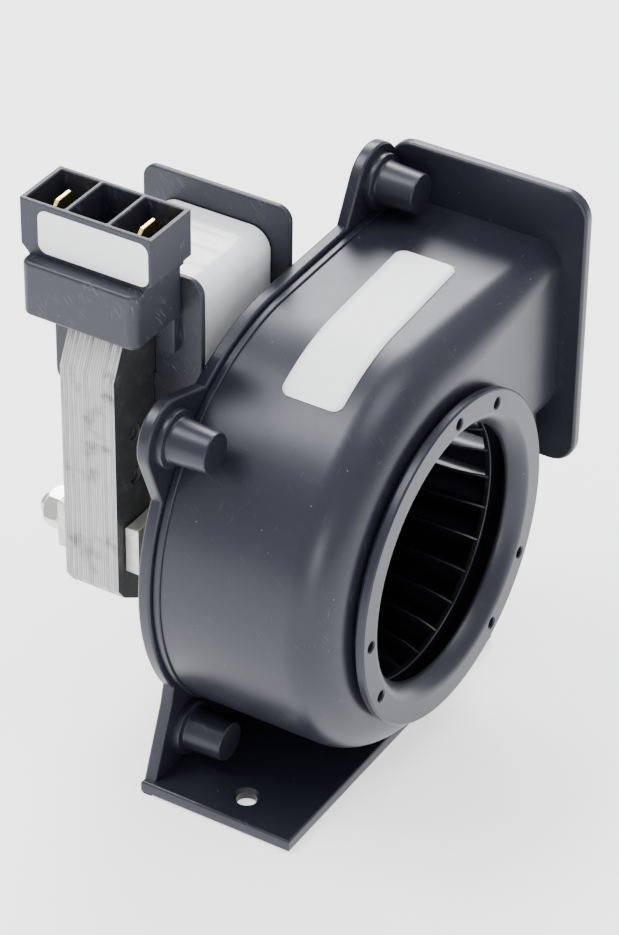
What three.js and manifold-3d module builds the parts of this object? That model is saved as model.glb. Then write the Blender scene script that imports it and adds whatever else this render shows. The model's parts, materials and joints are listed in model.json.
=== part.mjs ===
// Small centrifugal blower: a moulded scroll housing with a drum impeller, driven by a
// shaded-pole motor with a C-shaped laminated frame. Units are millimetres, +Z is up.
// The shaft runs along Y, air enters from -Y and leaves towards +X, the motor is at +Y.
// The origin is on the underside of the foot, below the shaft, in the parting plane
// between the scroll and its back plate.

import * as THREE from 'three';
import { mergeVertices } from 'three/addons/utils/BufferGeometryUtils.js';
import Module from 'manifold-3d';

const wasm = await Module();
wasm.setup();

// ---------------------------------------------------------------- driving dimensions

const gap = 0.3;                    // clearance between pieces that seat on each other
const past = 2;                     // how far a cut or a trimmed body runs past a surface
const beyond = 100;                 // outside everything
const shaftDiameter = 4;

const wall = 2;                     // wall of the scroll
const scrollDepth = 30.9;           // parting plane to the front face of the scroll
const tongueClearance = 6.6;        // impeller to the scroll wall where the spiral starts
const scrollGrowth = 2.2;           // rise of the wall's radius up to the top
const frontFillet = 7.5;            // rounding of the front edge of the scroll
const ductFloor = 5.9;              // underside of the outlet duct above the shaft axis
const outletExtension = 4.4;        // outlet face beyond the scroll wall's first radius
const outletSlope = 0.7;            // rise of the duct's roof on its way to the outlet

const rimMargin = 0.7;              // foot of the scroll wall, spread on the back plate
const flangeThickness = 2.1;
const plateSetback = 1;             // open back of the scroll ends this far before the flange
const flangeBorder = 7.6;           // outlet flange beyond the duct, above and below
const flangeFront = 4;              // outlet flange beyond the front face of the scroll
const flangeRear = 1.6;             // outlet flange behind the parting plane
const flangeCorner = 4.5;
const flangeOverlap = 0.1;          // how far the duct and the rim run into the flange

const plateThickness = 2.2;
const plateMargin = 1.2;            // back plate beyond the scroll wall
const plateBoreMargin = 1;          // plate's bore beyond the shaft's clearance
const lobeRadius = 6.4;             // back plate around each screw boss
const lobeRootRadius = 16;          // plate's edge widens from a lobe to a circle this large
const bossDiameter = 6.7;
const bossDraft = 0.4;              // growth of a boss's radius from its end to its base
const bossLength = 6.8;
const bossCollarDiameter = 9.6;
const bossCollarThickness = 1.3;
const bossOffset = 5.1;             // centre of a screw boss beyond the scroll wall
const wallBosses = [                // screw bosses on the spiral, by angle above +X
  { name: 'upper_left', angle: 136.5 },
  { name: 'lower_left', angle: 229.6 },
];
const roofBossInset = 7.8;          // screw boss on the duct's roof, from the outlet face

const footThickness = 2.3;
const footLength = 25.7;            // foot in front of the parting plane
const footLift = 3.4;               // scroll wall above the underside of the foot
const footBeyond = 1.4;             // left end of the foot beyond the scroll wall
const footShort = 6.1;              // right end of the foot inside the scroll wall
const webHeight = 18;
const webTaper = 7;                 // lean of the web's sides between foot and plate
const footHoleDiameter = 3.4;
const footHoleInset = 5.8;          // foot hole centre from the foot's end
const footHoleDepth = 14.2;         // foot hole centre in front of the parting plane

const ringProud = 2.6;              // inlet ring in front of the scroll's front face
const ringLip = 1.5;                // thickness of the ring's lip
const ringDepth = 3;                // front of the lip to the end of the throat
const ringEdge = 0.3;               // chamfer of the lip's outer edge
const throatMargin = 1;             // inlet ring's throat outside the blades' inner edges
const throatLand = 0.4;             // straight end of the throat
const mouthFlare = 2.7;             // bellmouth's widening from the throat to the flat lip
const lipWidth = 3.7;
const spigotWall = 0.3;             // spigot's outside beyond the mouth
const neckInset = 1.4;              // inlet ring's neck behind the rim of the lip
const ringHoleDiameter = 1.9;
const ringHoleInset = 2.4;          // hole centres from the rim of the lip
const ringHoleSpread = 14;          // half the angle between the two holes of a pair
const ringHoleAngles = [76, 196, 316];

const impellerRadius = 26;
const bladeDepth = 5.4;             // radial depth of a blade
const bladeCount = 25;
const bladeThickness = 0.8;
const bladeSweep = 1.9;             // forward bow of a blade
const bladeOverlap = 0.4;           // how far a blade runs into the front ring and the disc
const impellerRim = 1.2;            // thickness of the front ring
const rimWidth = 3.4;               // front ring from the impeller's outside inwards
const impellerDisc = 1.5;           // thickness of the back disc
const impellerClearance = 3.1;      // to the inlet ring's spigot
const discClearance = 3.4;          // back disc to the parting plane
const hubRadius = 5.2;
const hubDraft = 0.6;
const hubLength = 13;

const motorClearance = 0.8;         // bobbin to the back plate
const capClearance = 0.3;           // front bearing cap to the back plate
const stackThickness = 10;
const ironLeft = 15.25;             // frame beyond the rotor's bore, on the coil's leg side
const ironRight = 9.25;             // and on the other side
const ironBelow = 7.65;             // and below
const limbWidth = 11;               // width of each leg of the frame
const stackTop = 38.7;              // top of the frame above the shaft axis
const stackFaceLow = 7.4;           // where the side faces end, below the shaft axis
const lowChamferWidth = 1.6;
const lowChamferHeight = 2.2;
const lowSlopeWidth = 18;           // slope from a lower chamfer to the underside
const topChamferWidth = 3;
const topChamferHeight = 6.3;
const windowIron = 4.65;            // frame between the rotor's bore and the coil window
const coreHeight = 10.2;            // height of the limb that carries the coil
const rotorRadius = 12;
const airGap = 0.35;
const poleSlot = 1.4;
const stackHoleDiameter = 2.9;
const stackHoleHeights = [12.1, 20.2];

const bobbinSide = 27.6;            // square flanges of the bobbin
const bobbinFlange = 1.2;
const bobbinTube = 1;
const bobbinCorner = 2.6;
const coilDepth = 21.4;             // wound coil with its tape, along Y
const coilHeight = 18.6;
const coilCorner = 4;
const tapeThickness = 0.5;

const blockProud = 1.9;             // terminal block's lower part beyond the leg's face
const blockDepth = 21;
const blockHeight = 9.6;
const blockCorner = 1.6;
const blockLift = 2.3;              // terminal block above the frame
const hookWidth = 2;                // tongue that clips the block over the frame's front face
const hookDrop = 7;
const hookInset = 0.6;              // tongue from the block's front
const hookGap = 1.5;                // tongue to the frame's front face
const socketLength = 23.7;
const socketWidth = 11;
const socketHeight = 9.4;
const socketInset = 0.6;            // socket from the outer face of the leg
const socketCorner = 0.4;
const socketWall = 0.8;
const socketDepth = 8.2;
const socketOverlap = 0.6;          // how far the socket runs down into the block
const bladeTabWidth = 6.3;
const bladeTabThickness = 0.8;
const bladeTabTop = 1.1;            // tip of a blade terminal below the socket's rim
const bladeTabChamfer = 1.5;
const bladeTabRoot = 2.6;           // length held in the block below the socket's floor

const bracketHeight = 8.8;
const bracketThickness = 2.4;
const bracketStep = 3;              // bow of a bracket away from the stack
const bracketInset = 1.9;           // end of a bracket from the side face of the stack
const bracketFootLength = 7.6;
const bracketRamp = 3;              // length of the slope between foot and bow
const bearingHousingRadius = 7;
const bearingHousingLength = 5.2;
const bearingRadius = 4.6;
const bearingLength = 3.3;
const feltThickness = 1;
const capThickness = 0.5;
const capInset = 0.4;               // cap inside the bearing housing's rim
const washerRadius = 3.8;
const washerThickness = 0.5;
const endRingInset = 2.4;           // end rings inside the rotor's core
const endRingThickness = 1.8;
const shadingHeight = 8.6;          // shading rings above and below the shaft axis
const shadingWidth = 5;
const shadingThickness = 1.3;
const shadingInset = 2.4;           // nearer bar from the rotor's bore

const boltDiameter = 4;
const boltHeadDiameter = 7.2;
const boltHeadThickness = 2;
const headDraft = 0.5;              // fall of a head's radius over its height
const headOverlap = 0.2;
const nutAcrossCorners = 8.1;
const nutThickness = 3.2;
const spacerDiameter = 7.4;
const boltEnd = 1.4;                // bolt beyond its nut
const screwHeadDiameter = 6;
const screwHeadThickness = 1.6;
const screwLength = 5;
const pilotSpare = 1;               // pilot hole deeper than its screw
const screwDiameter = 2.6;
const screwTaper = 0.8;             // radius at the screw's end, as a share of its own
const recessWidth = 0.9;
const recessReach = 1.8;
const recessDepth = 0.7;
const clipThickness = 0.8;
const clipRadius = 4.2;
const shaftOverhang = 1.2;

// ------------------------------------------------------------------- derived places

const tongueRadius = impellerRadius + tongueClearance + wall;
const outletReach = tongueRadius + outletExtension;
const shaftHeight = tongueRadius + footLift;
const footLeft = -tongueRadius - footBeyond;
const footRight = tongueRadius - footShort;
const impellerInner = impellerRadius - bladeDepth;
const throatRadius = impellerInner + throatMargin;
const mouthRadius = throatRadius + mouthFlare;
const ringRadius = mouthRadius + lipWidth;
const ringNeckRadius = ringRadius - neckInset;
const ringHoleRadius = ringRadius - ringHoleInset;
const scrollFront = -scrollDepth;
const cavityFront = scrollFront + wall;
const ringFront = scrollFront - ringProud;
const spigotRadius = mouthRadius + spigotWall;
const shellMouthRadius = spigotRadius + gap;
const spigotEnd = ringFront + ringDepth;
const impellerFront = spigotEnd + impellerClearance;
const impellerRear = -discClearance;
const plateRear = plateThickness;
const bobbinRoom = (bobbinSide - stackThickness) / 2 + motorClearance;
const bearingRoom = bracketStep + bearingHousingLength + capThickness + capClearance + 2 * gap;
const stackFront = plateRear + Math.max(bobbinRoom, bearingRoom);
const stackRear = stackFront + stackThickness;
const stackMiddle = (stackFront + stackRear) / 2;
const rotorBoreRadius = rotorRadius + airGap;
const stackLeft = -rotorBoreRadius - ironLeft;
const stackRight = rotorBoreRadius + ironRight;
const stackBottom = rotorBoreRadius + ironBelow;
const slopeTop = stackFaceLow + lowChamferHeight;
const windowFloor = rotorBoreRadius + windowIron;
const windowLeft = stackLeft + limbWidth;
const windowRight = stackRight - limbWidth;
const coreFloor = stackTop - coreHeight;
const coreMiddle = (stackTop + coreFloor) / 2;
const bobbinLeft = windowLeft + gap;
const bobbinRight = windowRight - gap;
const hubFront = impellerRear - impellerDisc - hubLength;
const shaftBore = shaftDiameter / 2 + gap;
const boltBore = boltDiameter / 2 + gap;
const frontFace = stackFront - gap;         // seat of the front bracket's feet
const rearFace = stackRear + gap;           // seat of the rear bracket's feet
const bracketReach = bracketStep + bracketThickness;
const bracketLeft = stackLeft + bracketInset;
const bracketRight = stackRight - bracketInset;
const blockLeft = stackLeft - blockProud;
const blockRight = bobbinLeft - gap;
const blockFloor = stackTop + blockLift;
const blockTop = blockFloor + blockHeight;
const socketLeft = stackLeft + socketInset;
const socketTop = blockTop + socketHeight;
const socketFloor = socketTop - socketDepth;
const cavityPitch = (socketLength - socketWall) / 3;
const tongueAngle = Math.asin(ductFloor / tongueRadius);
const scrollTurn = Math.PI * 1.5 + tongueAngle;
const ductRoof = tongueRadius + scrollGrowth + outletSlope;
const flangeInner = outletReach - flangeThickness;
const roofBoss = { name: 'upper_right', x: outletReach - roofBossInset, z: ductRoof + bossOffset };
const bossPlaces = [...wallBosses.map((boss) => wallBoss(boss)), roofBoss];
const boltInset = bracketInset + bracketFootLength / 2;
const boltPlaces = [
  { name: 'left', x: stackLeft + boltInset },
  { name: 'right', x: stackRight - boltInset },
];

// ------------------------------------------------------------------------- materials

function finish(color, roughness, metalness) {
  return new THREE.MeshStandardMaterial({ color, roughness, metalness });
}

const housingPlastic = finish(0x2f3036, 0.5, 0);
const impellerPlastic = finish(0x1c1d20, 0.55, 0);
const bobbinPlastic = finish(0x2b2c31, 0.5, 0);
const laminatedSteel = finish(0x9a9a98, 0.4, 0.9);
const zincCasting = finish(0xb9bbbd, 0.4, 0.9);
const brightSteel = finish(0xb5b7ba, 0.3, 1);
const brassSheet = finish(0xc9a44a, 0.3, 1);
const copper = finish(0xa8613a, 0.35, 1);
const bronze = finish(0x8d6b45, 0.5, 0.9);
const whiteTape = finish(0xf0f0ee, 0.35, 0);
const feltWool = finish(0xb9ae98, 0.95, 0);
const blackRubber = finish(0x1b1b1b, 0.8, 0);

// --------------------------------------------------------------------- solid helpers

const assembly = new THREE.Group();

function solid(geometry) {
  const bare = geometry.index ? geometry.toNonIndexed() : geometry.clone();
  bare.deleteAttribute('normal');
  bare.deleteAttribute('uv');
  const merged = mergeVertices(bare, 1e-4);
  const mesh = new wasm.Mesh({
    numProp: 3,
    vertProperties: new Float32Array(merged.attributes.position.array),
    triVerts: new Uint32Array(merged.index.array),
  });
  return new wasm.Manifold(mesh);
}

function addPiece(name, body, material) {
  const data = body.getMesh();
  const geometry = new THREE.BufferGeometry();
  geometry.setAttribute('position', new THREE.BufferAttribute(data.vertProperties, 3));
  geometry.setIndex(new THREE.BufferAttribute(data.triVerts, 1));
  geometry.computeVertexNormals();
  const piece = new THREE.Mesh(geometry, material);
  piece.name = name;
  piece.position.z = shaftHeight;
  assembly.add(piece);
}

function joined(bodies) {
  return bodies.reduce((whole, body) => whole.add(body));
}

function without(body, cuts) {
  return cuts.reduce((rest, cut) => rest.subtract(cut), body);
}

// A box between two corners, measured from the shaft axis like everything below.
function block(x0, x1, y0, y1, z0, z1) {
  const geometry = new THREE.BoxGeometry(x1 - x0, y1 - y0, z1 - z0);
  return solid(geometry.translate((x0 + x1) / 2, (y0 + y1) / 2, (z0 + z1) / 2));
}

// A round bar along Y, from y0 to y1, with its own radius at each end.
function bar(x, z, y0, y1, radius0, radius1 = radius0, sides = 24) {
  const geometry = new THREE.CylinderGeometry(radius1, radius0, y1 - y0, sides);
  return solid(geometry.translate(x, (y0 + y1) / 2, z));
}

// A hexagonal bar along Y.
function hexBar(x, z, y0, y1, radius) {
  return bar(x, z, y0, y1, radius, radius, 6);
}

// A tube along Y around the shaft axis.
function tube(y0, y1, outer, inner, sides = 24) {
  return bar(0, 0, y0, y1, outer, outer, sides)
    .subtract(bar(0, 0, y0 - past, y1 + past, inner, inner, sides));
}

// A turned body around the shaft axis; the profile holds [radius, y] pairs, and goes
// towards +Y on its outer side.
function turned(profile, sides) {
  const points = profile.map(([radius, y]) => new THREE.Vector2(radius, y));
  points.push(points[0]);
  return solid(new THREE.LatheGeometry(points, sides));
}

// A flat outline in X and Z, thickened from y0 to y1, with a rounding of its front edge.
function slab(shape, y0, y1, rounding = 0, steps = 5) {
  const geometry = new THREE.ExtrudeGeometry(shape, {
    depth: y1 - y0 - rounding,
    bevelEnabled: rounding > 0,
    bevelSize: rounding,
    bevelThickness: rounding,
    bevelOffset: -rounding,
    bevelSegments: steps,
  });
  return solid(geometry.rotateX(Math.PI / 2).translate(0, y1, 0));
}

// An outline in X and Y, thickened along Z.
function slabUp(shape, z0, z1, curveSegments = 4) {
  const options = { depth: z1 - z0, bevelEnabled: false, curveSegments };
  const geometry = new THREE.ExtrudeGeometry(shape, options);
  return solid(geometry.translate(0, 0, z0));
}

// An outline in Y and Z, thickened along X.
function slabAcross(shape, x0, x1, curveSegments = 5) {
  const options = { depth: x1 - x0, bevelEnabled: false, curveSegments };
  const geometry = new THREE.ExtrudeGeometry(shape, options);
  const turn = new THREE.Matrix4().makeBasis(
    new THREE.Vector3(0, 1, 0), new THREE.Vector3(0, 0, 1), new THREE.Vector3(1, 0, 0));
  return solid(geometry.applyMatrix4(turn).translate(x0, 0, 0));
}

function outline(points) {
  return new THREE.Shape(points.map(([u, v]) => new THREE.Vector2(u, v)));
}

function roundedRectangle(u0, u1, v0, v1, radius) {
  const shape = new THREE.Shape();
  shape.moveTo(u0 + radius, v0);
  shape.lineTo(u1 - radius, v0);
  shape.absarc(u1 - radius, v0 + radius, radius, -Math.PI / 2, 0, false);
  shape.lineTo(u1, v1 - radius);
  shape.absarc(u1 - radius, v1 - radius, radius, 0, Math.PI / 2, false);
  shape.lineTo(u0 + radius, v1);
  shape.absarc(u0 + radius, v1 - radius, radius, Math.PI / 2, Math.PI, false);
  shape.lineTo(u0, v0 + radius);
  shape.absarc(u0 + radius, v0 + radius, radius, Math.PI, Math.PI * 1.5, false);
  return shape;
}

// --------------------------------------------------------------------------- housing

// Radius of the scroll's outer wall; turn runs from 0 at the tongue to 1 at the top.
function scrollRadius(turn) {
  return tongueRadius + scrollGrowth * turn ** 3;
}

// Place of a screw boss beside the spiral; its angle is in degrees above +X.
function wallBoss({ name, angle }) {
  const direction = THREE.MathUtils.degToRad(angle);
  const turn = (tongueAngle + Math.PI * 2 - direction) / scrollTurn;
  const radius = scrollRadius(turn) + bossOffset;
  return { name, x: radius * Math.cos(direction), z: radius * Math.sin(direction) };
}

// Outline of the scroll and its duct, moved inwards by inset, up to x = reach.
function scrollOutline(inset, reach) {
  const points = [];
  const steps = 64;
  for (let step = 0; step <= steps; step += 1) {
    const turn = step / steps;
    const angle = tongueAngle - turn * scrollTurn;
    const radius = scrollRadius(turn) - inset;
    points.push([radius * Math.cos(angle), radius * Math.sin(angle)]);
  }
  points.push([outletReach, ductRoof - inset]);
  points.push([reach, ductRoof - inset]);
  points.push([reach, ductFloor + inset]);
  return outline(points.reverse());
}

function scrollShell() {
  const reach = outletReach + frontFillet + past;
  const outer = slab(scrollOutline(0, reach), scrollFront, frontFillet + past, frontFillet, 5);
  const cavityFillet = frontFillet - wall;
  const cavityEnd = cavityFillet + past;
  const cavity = slab(scrollOutline(wall, reach + past), cavityFront, cavityEnd, cavityFillet, 4);
  const keep = block(-beyond, flangeInner + flangeOverlap, scrollFront - past, 0, -beyond, beyond);
  const rim = slab(scrollOutline(-rimMargin, reach), -bossCollarThickness, 0).intersect(keep);
  const flangeOutline = roundedRectangle(scrollFront - flangeFront, flangeRear,
    ductFloor - flangeBorder, ductRoof + flangeBorder, flangeCorner);
  const flange = slabAcross(flangeOutline, flangeInner, outletReach);
  const bosses = bossPlaces.map(({ x, z }) => {
    const base = -bossCollarThickness;
    const end = base - bossLength;
    const collar = bar(x, z, base, 0, bossCollarDiameter / 2);
    const post = bar(x, z, end, base + headOverlap, bossDiameter / 2, bossDiameter / 2 + bossDraft);
    return collar.add(post);
  });
  const mouthEnd = cavityFront + past;
  const mouth = bar(0, 0, scrollFront - past, mouthEnd, shellMouthRadius, shellMouthRadius, 48);
  const pilotRadius = screwDiameter / 2 + gap;
  const pilotEnd = -screwLength - pilotSpare;
  const pilots = bossPlaces.map(({ x, z }) => bar(x, z, pilotEnd, past, pilotRadius, pilotRadius, 12));
  const plateEnd = flangeInner - plateSetback;
  const behind = block(-beyond, plateEnd, 0, beyond, -beyond, beyond);
  const ahead = block(-beyond, outletReach + past, -beyond, -gap, -beyond, beyond);
  const under = block(-beyond, plateEnd, -beyond, beyond, -beyond, beyond);
  const footTop = footThickness + gap - shaftHeight;
  const overFoot = block(-beyond, beyond, -beyond, beyond, -beyond, footTop);
  const hollow = cavity.intersect(under).add(cavity.intersect(ahead));
  const body = joined([outer.intersect(keep), rim, flange, ...bosses]);
  return without(body, [hollow, mouth, behind, overFoot, ...pilots]);
}

// Outline of the plate around a screw boss: two arcs, round the boss and inside the scroll,
// with straight tangents between them.
function lobeOutline(place) {
  const { x, z } = place;
  const reach = (tongueRadius - lobeRootRadius) / Math.hypot(x, z);
  const rootX = place === roofBoss ? x : x * reach;
  const rootZ = place === roofBoss ? ductRoof - lobeRootRadius : z * reach;
  const outwards = Math.atan2(z - rootZ, x - rootX);
  const spread = Math.acos((lobeRootRadius - lobeRadius) / Math.hypot(x - rootX, z - rootZ));
  const from = outwards - spread;
  const to = outwards + spread;
  const shape = new THREE.Shape();
  shape.absarc(x, z, lobeRadius, from, to, false);
  shape.absarc(rootX, rootZ, lobeRootRadius, to, from + Math.PI * 2, false);
  return shape;
}

function backPlate() {
  const plate = (shape) => slab(shape, 0, plateRear);
  const rim = plate(scrollOutline(-plateMargin, outletReach + past));
  const lobes = bossPlaces.map((place) => plate(lobeOutline(place)));
  const web = plate(outline([
    [footLeft, -shaftHeight],
    [footRight, -shaftHeight],
    [footRight - webTaper, webHeight - shaftHeight],
    [footLeft + webTaper, webHeight - shaftHeight],
  ]));
  const foot = block(footLeft, footRight, -footLength, plateRear, -shaftHeight, footThickness - shaftHeight);
  const footHoles = [footLeft + footHoleInset, footRight - footHoleInset].map((x) => {
    const radius = footHoleDiameter / 2;
    const depth = 2 * (footThickness + past);
    const drill = new THREE.CylinderGeometry(radius, radius, depth, 24).rotateX(Math.PI / 2);
    return solid(drill.translate(x, -footHoleDepth, -shaftHeight));
  });
  const through = [-past, plateRear + past];
  const shaftHole = bar(0, 0, ...through, shaftBore + plateBoreMargin);
  const screwBore = screwDiameter / 2 + gap;
  const screwHoles = bossPlaces.map(({ x, z }) => bar(x, z, ...through, screwBore, screwBore, 12));
  const boltHoles = boltPlaces.map(({ x }) => bar(x, 0, ...through, boltBore, boltBore, 12));
  const behindFlange = block(flangeInner - gap, beyond, ...through, -beyond, beyond);
  const body = joined([rim, ...lobes, web, foot]);
  return without(body, [shaftHole, behindFlange, ...screwHoles, ...boltHoles, ...footHoles]);
}

function inletRing() {
  const mouth = [];
  const steps = 4;
  for (let step = 0; step <= steps; step += 1) {
    const angle = (step / steps) * Math.PI / 2;
    const radius = throatRadius + (mouthRadius - throatRadius) * (1 - Math.sin(angle));
    const depth = (spigotEnd - throatLand - ringFront) * (1 - Math.cos(angle));
    mouth.push([radius, ringFront + depth]);
  }
  const profile = [
    ...mouth,
    [throatRadius, spigotEnd],
    [spigotRadius, spigotEnd],
    [spigotRadius, scrollFront - gap],
    [ringNeckRadius, scrollFront - gap],
    [ringNeckRadius, ringFront + ringLip],
    [ringRadius, ringFront + ringLip],
    [ringRadius, ringFront + ringEdge],
    [ringRadius - ringEdge, ringFront],
  ];
  const holes = [];
  const drill = [ringFront - past, scrollFront + past, ringHoleDiameter / 2, ringHoleDiameter / 2, 12];
  for (const middle of ringHoleAngles) {
    for (const side of [-1, 1]) {
      const angle = THREE.MathUtils.degToRad(middle + side * ringHoleSpread);
      const x = ringHoleRadius * Math.cos(angle);
      const z = ringHoleRadius * Math.sin(angle);
      holes.push(bar(x, z, ...drill));
    }
  }
  return without(turned(profile.reverse(), 60), holes);
}

// -------------------------------------------------------------------------- impeller

// One forward-curved blade, seen along the shaft.
function bladeOutline() {
  const steps = 3;
  const inner = [];
  const outer = [];
  for (let step = 0; step <= steps; step += 1) {
    const share = step / steps;
    const radius = impellerInner + (impellerRadius - bladeOverlap - impellerInner) * share;
    const lean = bladeSweep * share ** 1.8;
    inner.push([radius, -lean - bladeThickness / 2]);
    outer.push([radius, -lean + bladeThickness / 2]);
  }
  return outline([...inner, ...outer.reverse()]);
}

function impeller() {
  const depth = impellerRear - impellerFront - 2 * bladeOverlap;
  const blade = new THREE.ExtrudeGeometry(bladeOutline(), { depth, bevelEnabled: false });
  blade.rotateX(Math.PI / 2).translate(0, impellerRear - bladeOverlap, 0);
  const blades = [];
  for (let index = 0; index < bladeCount; index += 1) {
    blades.push(solid(blade.clone().rotateY((index / bladeCount) * Math.PI * 2)));
  }
  const rimInner = impellerRadius - rimWidth;
  const rim = tube(impellerFront, impellerFront + impellerRim, impellerRadius, rimInner, 50);
  const disc = bar(0, 0, impellerRear - impellerDisc, impellerRear, impellerRadius, impellerRadius, 50);
  const hub = bar(0, 0, hubFront, impellerRear, hubRadius - hubDraft, hubRadius);
  const bore = bar(0, 0, hubFront - past, past, shaftBore);
  return joined([rim, disc, hub, ...blades]).subtract(bore);
}

// ----------------------------------------------------------------------- motor frame

function boltDrills() {
  return boltPlaces.map(({ x }) => bar(x, 0, -beyond, beyond, boltBore, boltBore, 12));
}

function frameStack() {
  const shape = outline([
    [stackLeft, -stackFaceLow],
    [stackLeft + lowChamferWidth, -slopeTop],
    [stackLeft + lowSlopeWidth, -stackBottom],
    [stackRight - lowSlopeWidth, -stackBottom],
    [stackRight - lowChamferWidth, -slopeTop],
    [stackRight, -stackFaceLow],
    [stackRight, stackTop - topChamferHeight],
    [stackRight - topChamferWidth, stackTop],
    [stackLeft + topChamferWidth, stackTop],
    [stackLeft, stackTop - topChamferHeight],
  ]);
  const through = [stackFront - past, stackRear + past];
  const window = block(windowLeft, windowRight, ...through, windowFloor, stackTop + past);
  const rotorBore = bar(0, 0, ...through, rotorBoreRadius, rotorBoreRadius, 40);
  const slot = block(-poleSlot / 2, poleSlot / 2, ...through, 0, windowFloor + past);
  const legMiddle = stackLeft + limbWidth / 2;
  const holeRadius = stackHoleDiameter / 2;
  const holes = stackHoleHeights.map((height) => (
    bar(legMiddle, height, ...through, holeRadius, holeRadius, 16)
  ));
  const shading = [-1, 1].flatMap((side) => shadingBars(side, gap / 2));
  const body = slab(shape, stackFront, stackRear);
  return without(body, [window, rotorBore, slot, ...holes, ...boltDrills(), ...shading]);
}

// The two bars of a shading ring that pass through a pole beside the rotor bore.
function shadingBars(side, clearance) {
  const height = -side * shadingHeight;
  const half = shadingThickness / 2 + clearance;
  const near = Math.sqrt(rotorBoreRadius ** 2 - shadingHeight ** 2) + shadingInset;
  const along = [stackFront - shadingThickness, stackRear + shadingThickness];
  return [near, near + shadingWidth].map((reach) => (
    block(side * reach - half, side * reach + half, ...along, height - half, height + half)
  ));
}

function shadingRing(side) {
  const [inner, outer] = shadingBars(side, 0);
  const low = Math.min(inner.boundingBox().min[0], outer.boundingBox().min[0]);
  const high = low + shadingWidth + shadingThickness;
  const height = -side * shadingHeight;
  const half = shadingThickness / 2;
  const bridge = (y0, y1) => block(low, high, y0, y1, height - half, height + half);
  return joined([
    inner,
    outer,
    bridge(stackFront - shadingThickness - gap, stackFront - gap),
    bridge(stackRear + gap, stackRear + gap + shadingThickness),
  ]);
}

function coilCore() {
  return block(bobbinLeft, bobbinRight, stackFront, stackRear, coreFloor, stackTop);
}

function bobbin() {
  const half = bobbinSide / 2;
  const flangeShape = roundedRectangle(stackMiddle - half, stackMiddle + half,
    coreMiddle - half, coreMiddle + half, bobbinCorner);
  const sleeve = gap + bobbinTube;
  const body = joined([
    slabAcross(flangeShape, bobbinLeft, bobbinLeft + bobbinFlange),
    slabAcross(flangeShape, bobbinRight - bobbinFlange, bobbinRight),
    block(bobbinLeft + flangeOverlap, bobbinRight - flangeOverlap, stackFront - sleeve,
      stackRear + sleeve, coreFloor - sleeve, stackTop + sleeve),
  ]);
  const bore = block(bobbinLeft - past, bobbinRight + past, stackFront - gap, stackRear + gap,
    coreFloor - gap, stackTop + gap);
  return body.subtract(bore);
}

// The wound coil's section, moved inwards by inset, between the bobbin's flanges.
function coilBody(inset, extra = 0) {
  const section = roundedRectangle(
    stackMiddle - coilDepth / 2 + inset, stackMiddle + coilDepth / 2 - inset,
    coreMiddle - coilHeight / 2 + inset, coreMiddle + coilHeight / 2 - inset, coilCorner - inset);
  const end = bobbinFlange + gap - extra;
  return slabAcross(section, bobbinLeft + end, bobbinRight - end);
}

function coilTape() {
  return coilBody(0).subtract(coilBody(tapeThickness, past));
}

function coilWinding() {
  const sleeve = gap + bobbinTube + gap;
  return coilBody(tapeThickness + gap).subtract(block(bobbinLeft, bobbinRight,
    stackFront - sleeve, stackRear + sleeve, coreFloor - sleeve, stackTop + sleeve));
}

// ------------------------------------------------------------------------- terminals

function terminalPlaces() {
  return [
    { name: 'front', y: stackMiddle - cavityPitch },
    { name: 'rear', y: stackMiddle + cavityPitch },
  ];
}

function tabMiddle() {
  return socketLeft + socketWidth / 2;
}

function terminalBlock() {
  const y0 = stackMiddle - blockDepth / 2;
  const y1 = stackMiddle + blockDepth / 2;
  const lowerShape = roundedRectangle(blockLeft, blockRight, y0, y1, blockCorner);
  const lower = slabUp(lowerShape, blockFloor, blockTop);
  const socketFront = stackMiddle - socketLength / 2;
  const socketRear = stackMiddle + socketLength / 2;
  const socketRight = socketLeft + socketWidth;
  const socketShape = roundedRectangle(socketLeft, socketRight, socketFront, socketRear, socketCorner);
  const socket = slabUp(socketShape, blockTop - socketOverlap, socketTop);
  const cavities = [-1, 0, 1].map((place) => {
    const middle = stackMiddle + place * cavityPitch;
    const half = (cavityPitch - socketWall) / 2;
    return block(socketLeft + socketWall, socketRight - socketWall,
      middle - half, middle + half, socketFloor, socketTop + past);
  });
  const slots = terminalPlaces().map(({ y }) => {
    const half = bladeTabThickness / 2 + gap;
    const reach = bladeTabWidth / 2 + gap;
    const low = socketFloor - bladeTabRoot - gap;
    return block(tabMiddle() - reach, tabMiddle() + reach, y - half, y + half, low, socketFloor + past);
  });
  const hook = block(blockRight - hookWidth, blockRight, y0 + hookInset, stackFront - hookGap,
    blockFloor - hookDrop, blockFloor + headOverlap);
  return without(joined([lower, socket, hook]), [...cavities, ...slots]);
}

function bladeTerminal(y) {
  const half = bladeTabWidth / 2;
  const tip = socketTop - bladeTabTop;
  const middle = tabMiddle();
  const shape = outline([
    [middle - half, socketFloor - bladeTabRoot],
    [middle + half, socketFloor - bladeTabRoot],
    [middle + half, tip - bladeTabChamfer],
    [middle + half - bladeTabChamfer, tip],
    [middle - half + bladeTabChamfer, tip],
    [middle - half, tip - bladeTabChamfer],
  ]);
  return slab(shape, y - bladeTabThickness / 2, y + bladeTabThickness / 2);
}

// -------------------------------------------------------------- brackets and bearings

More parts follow.
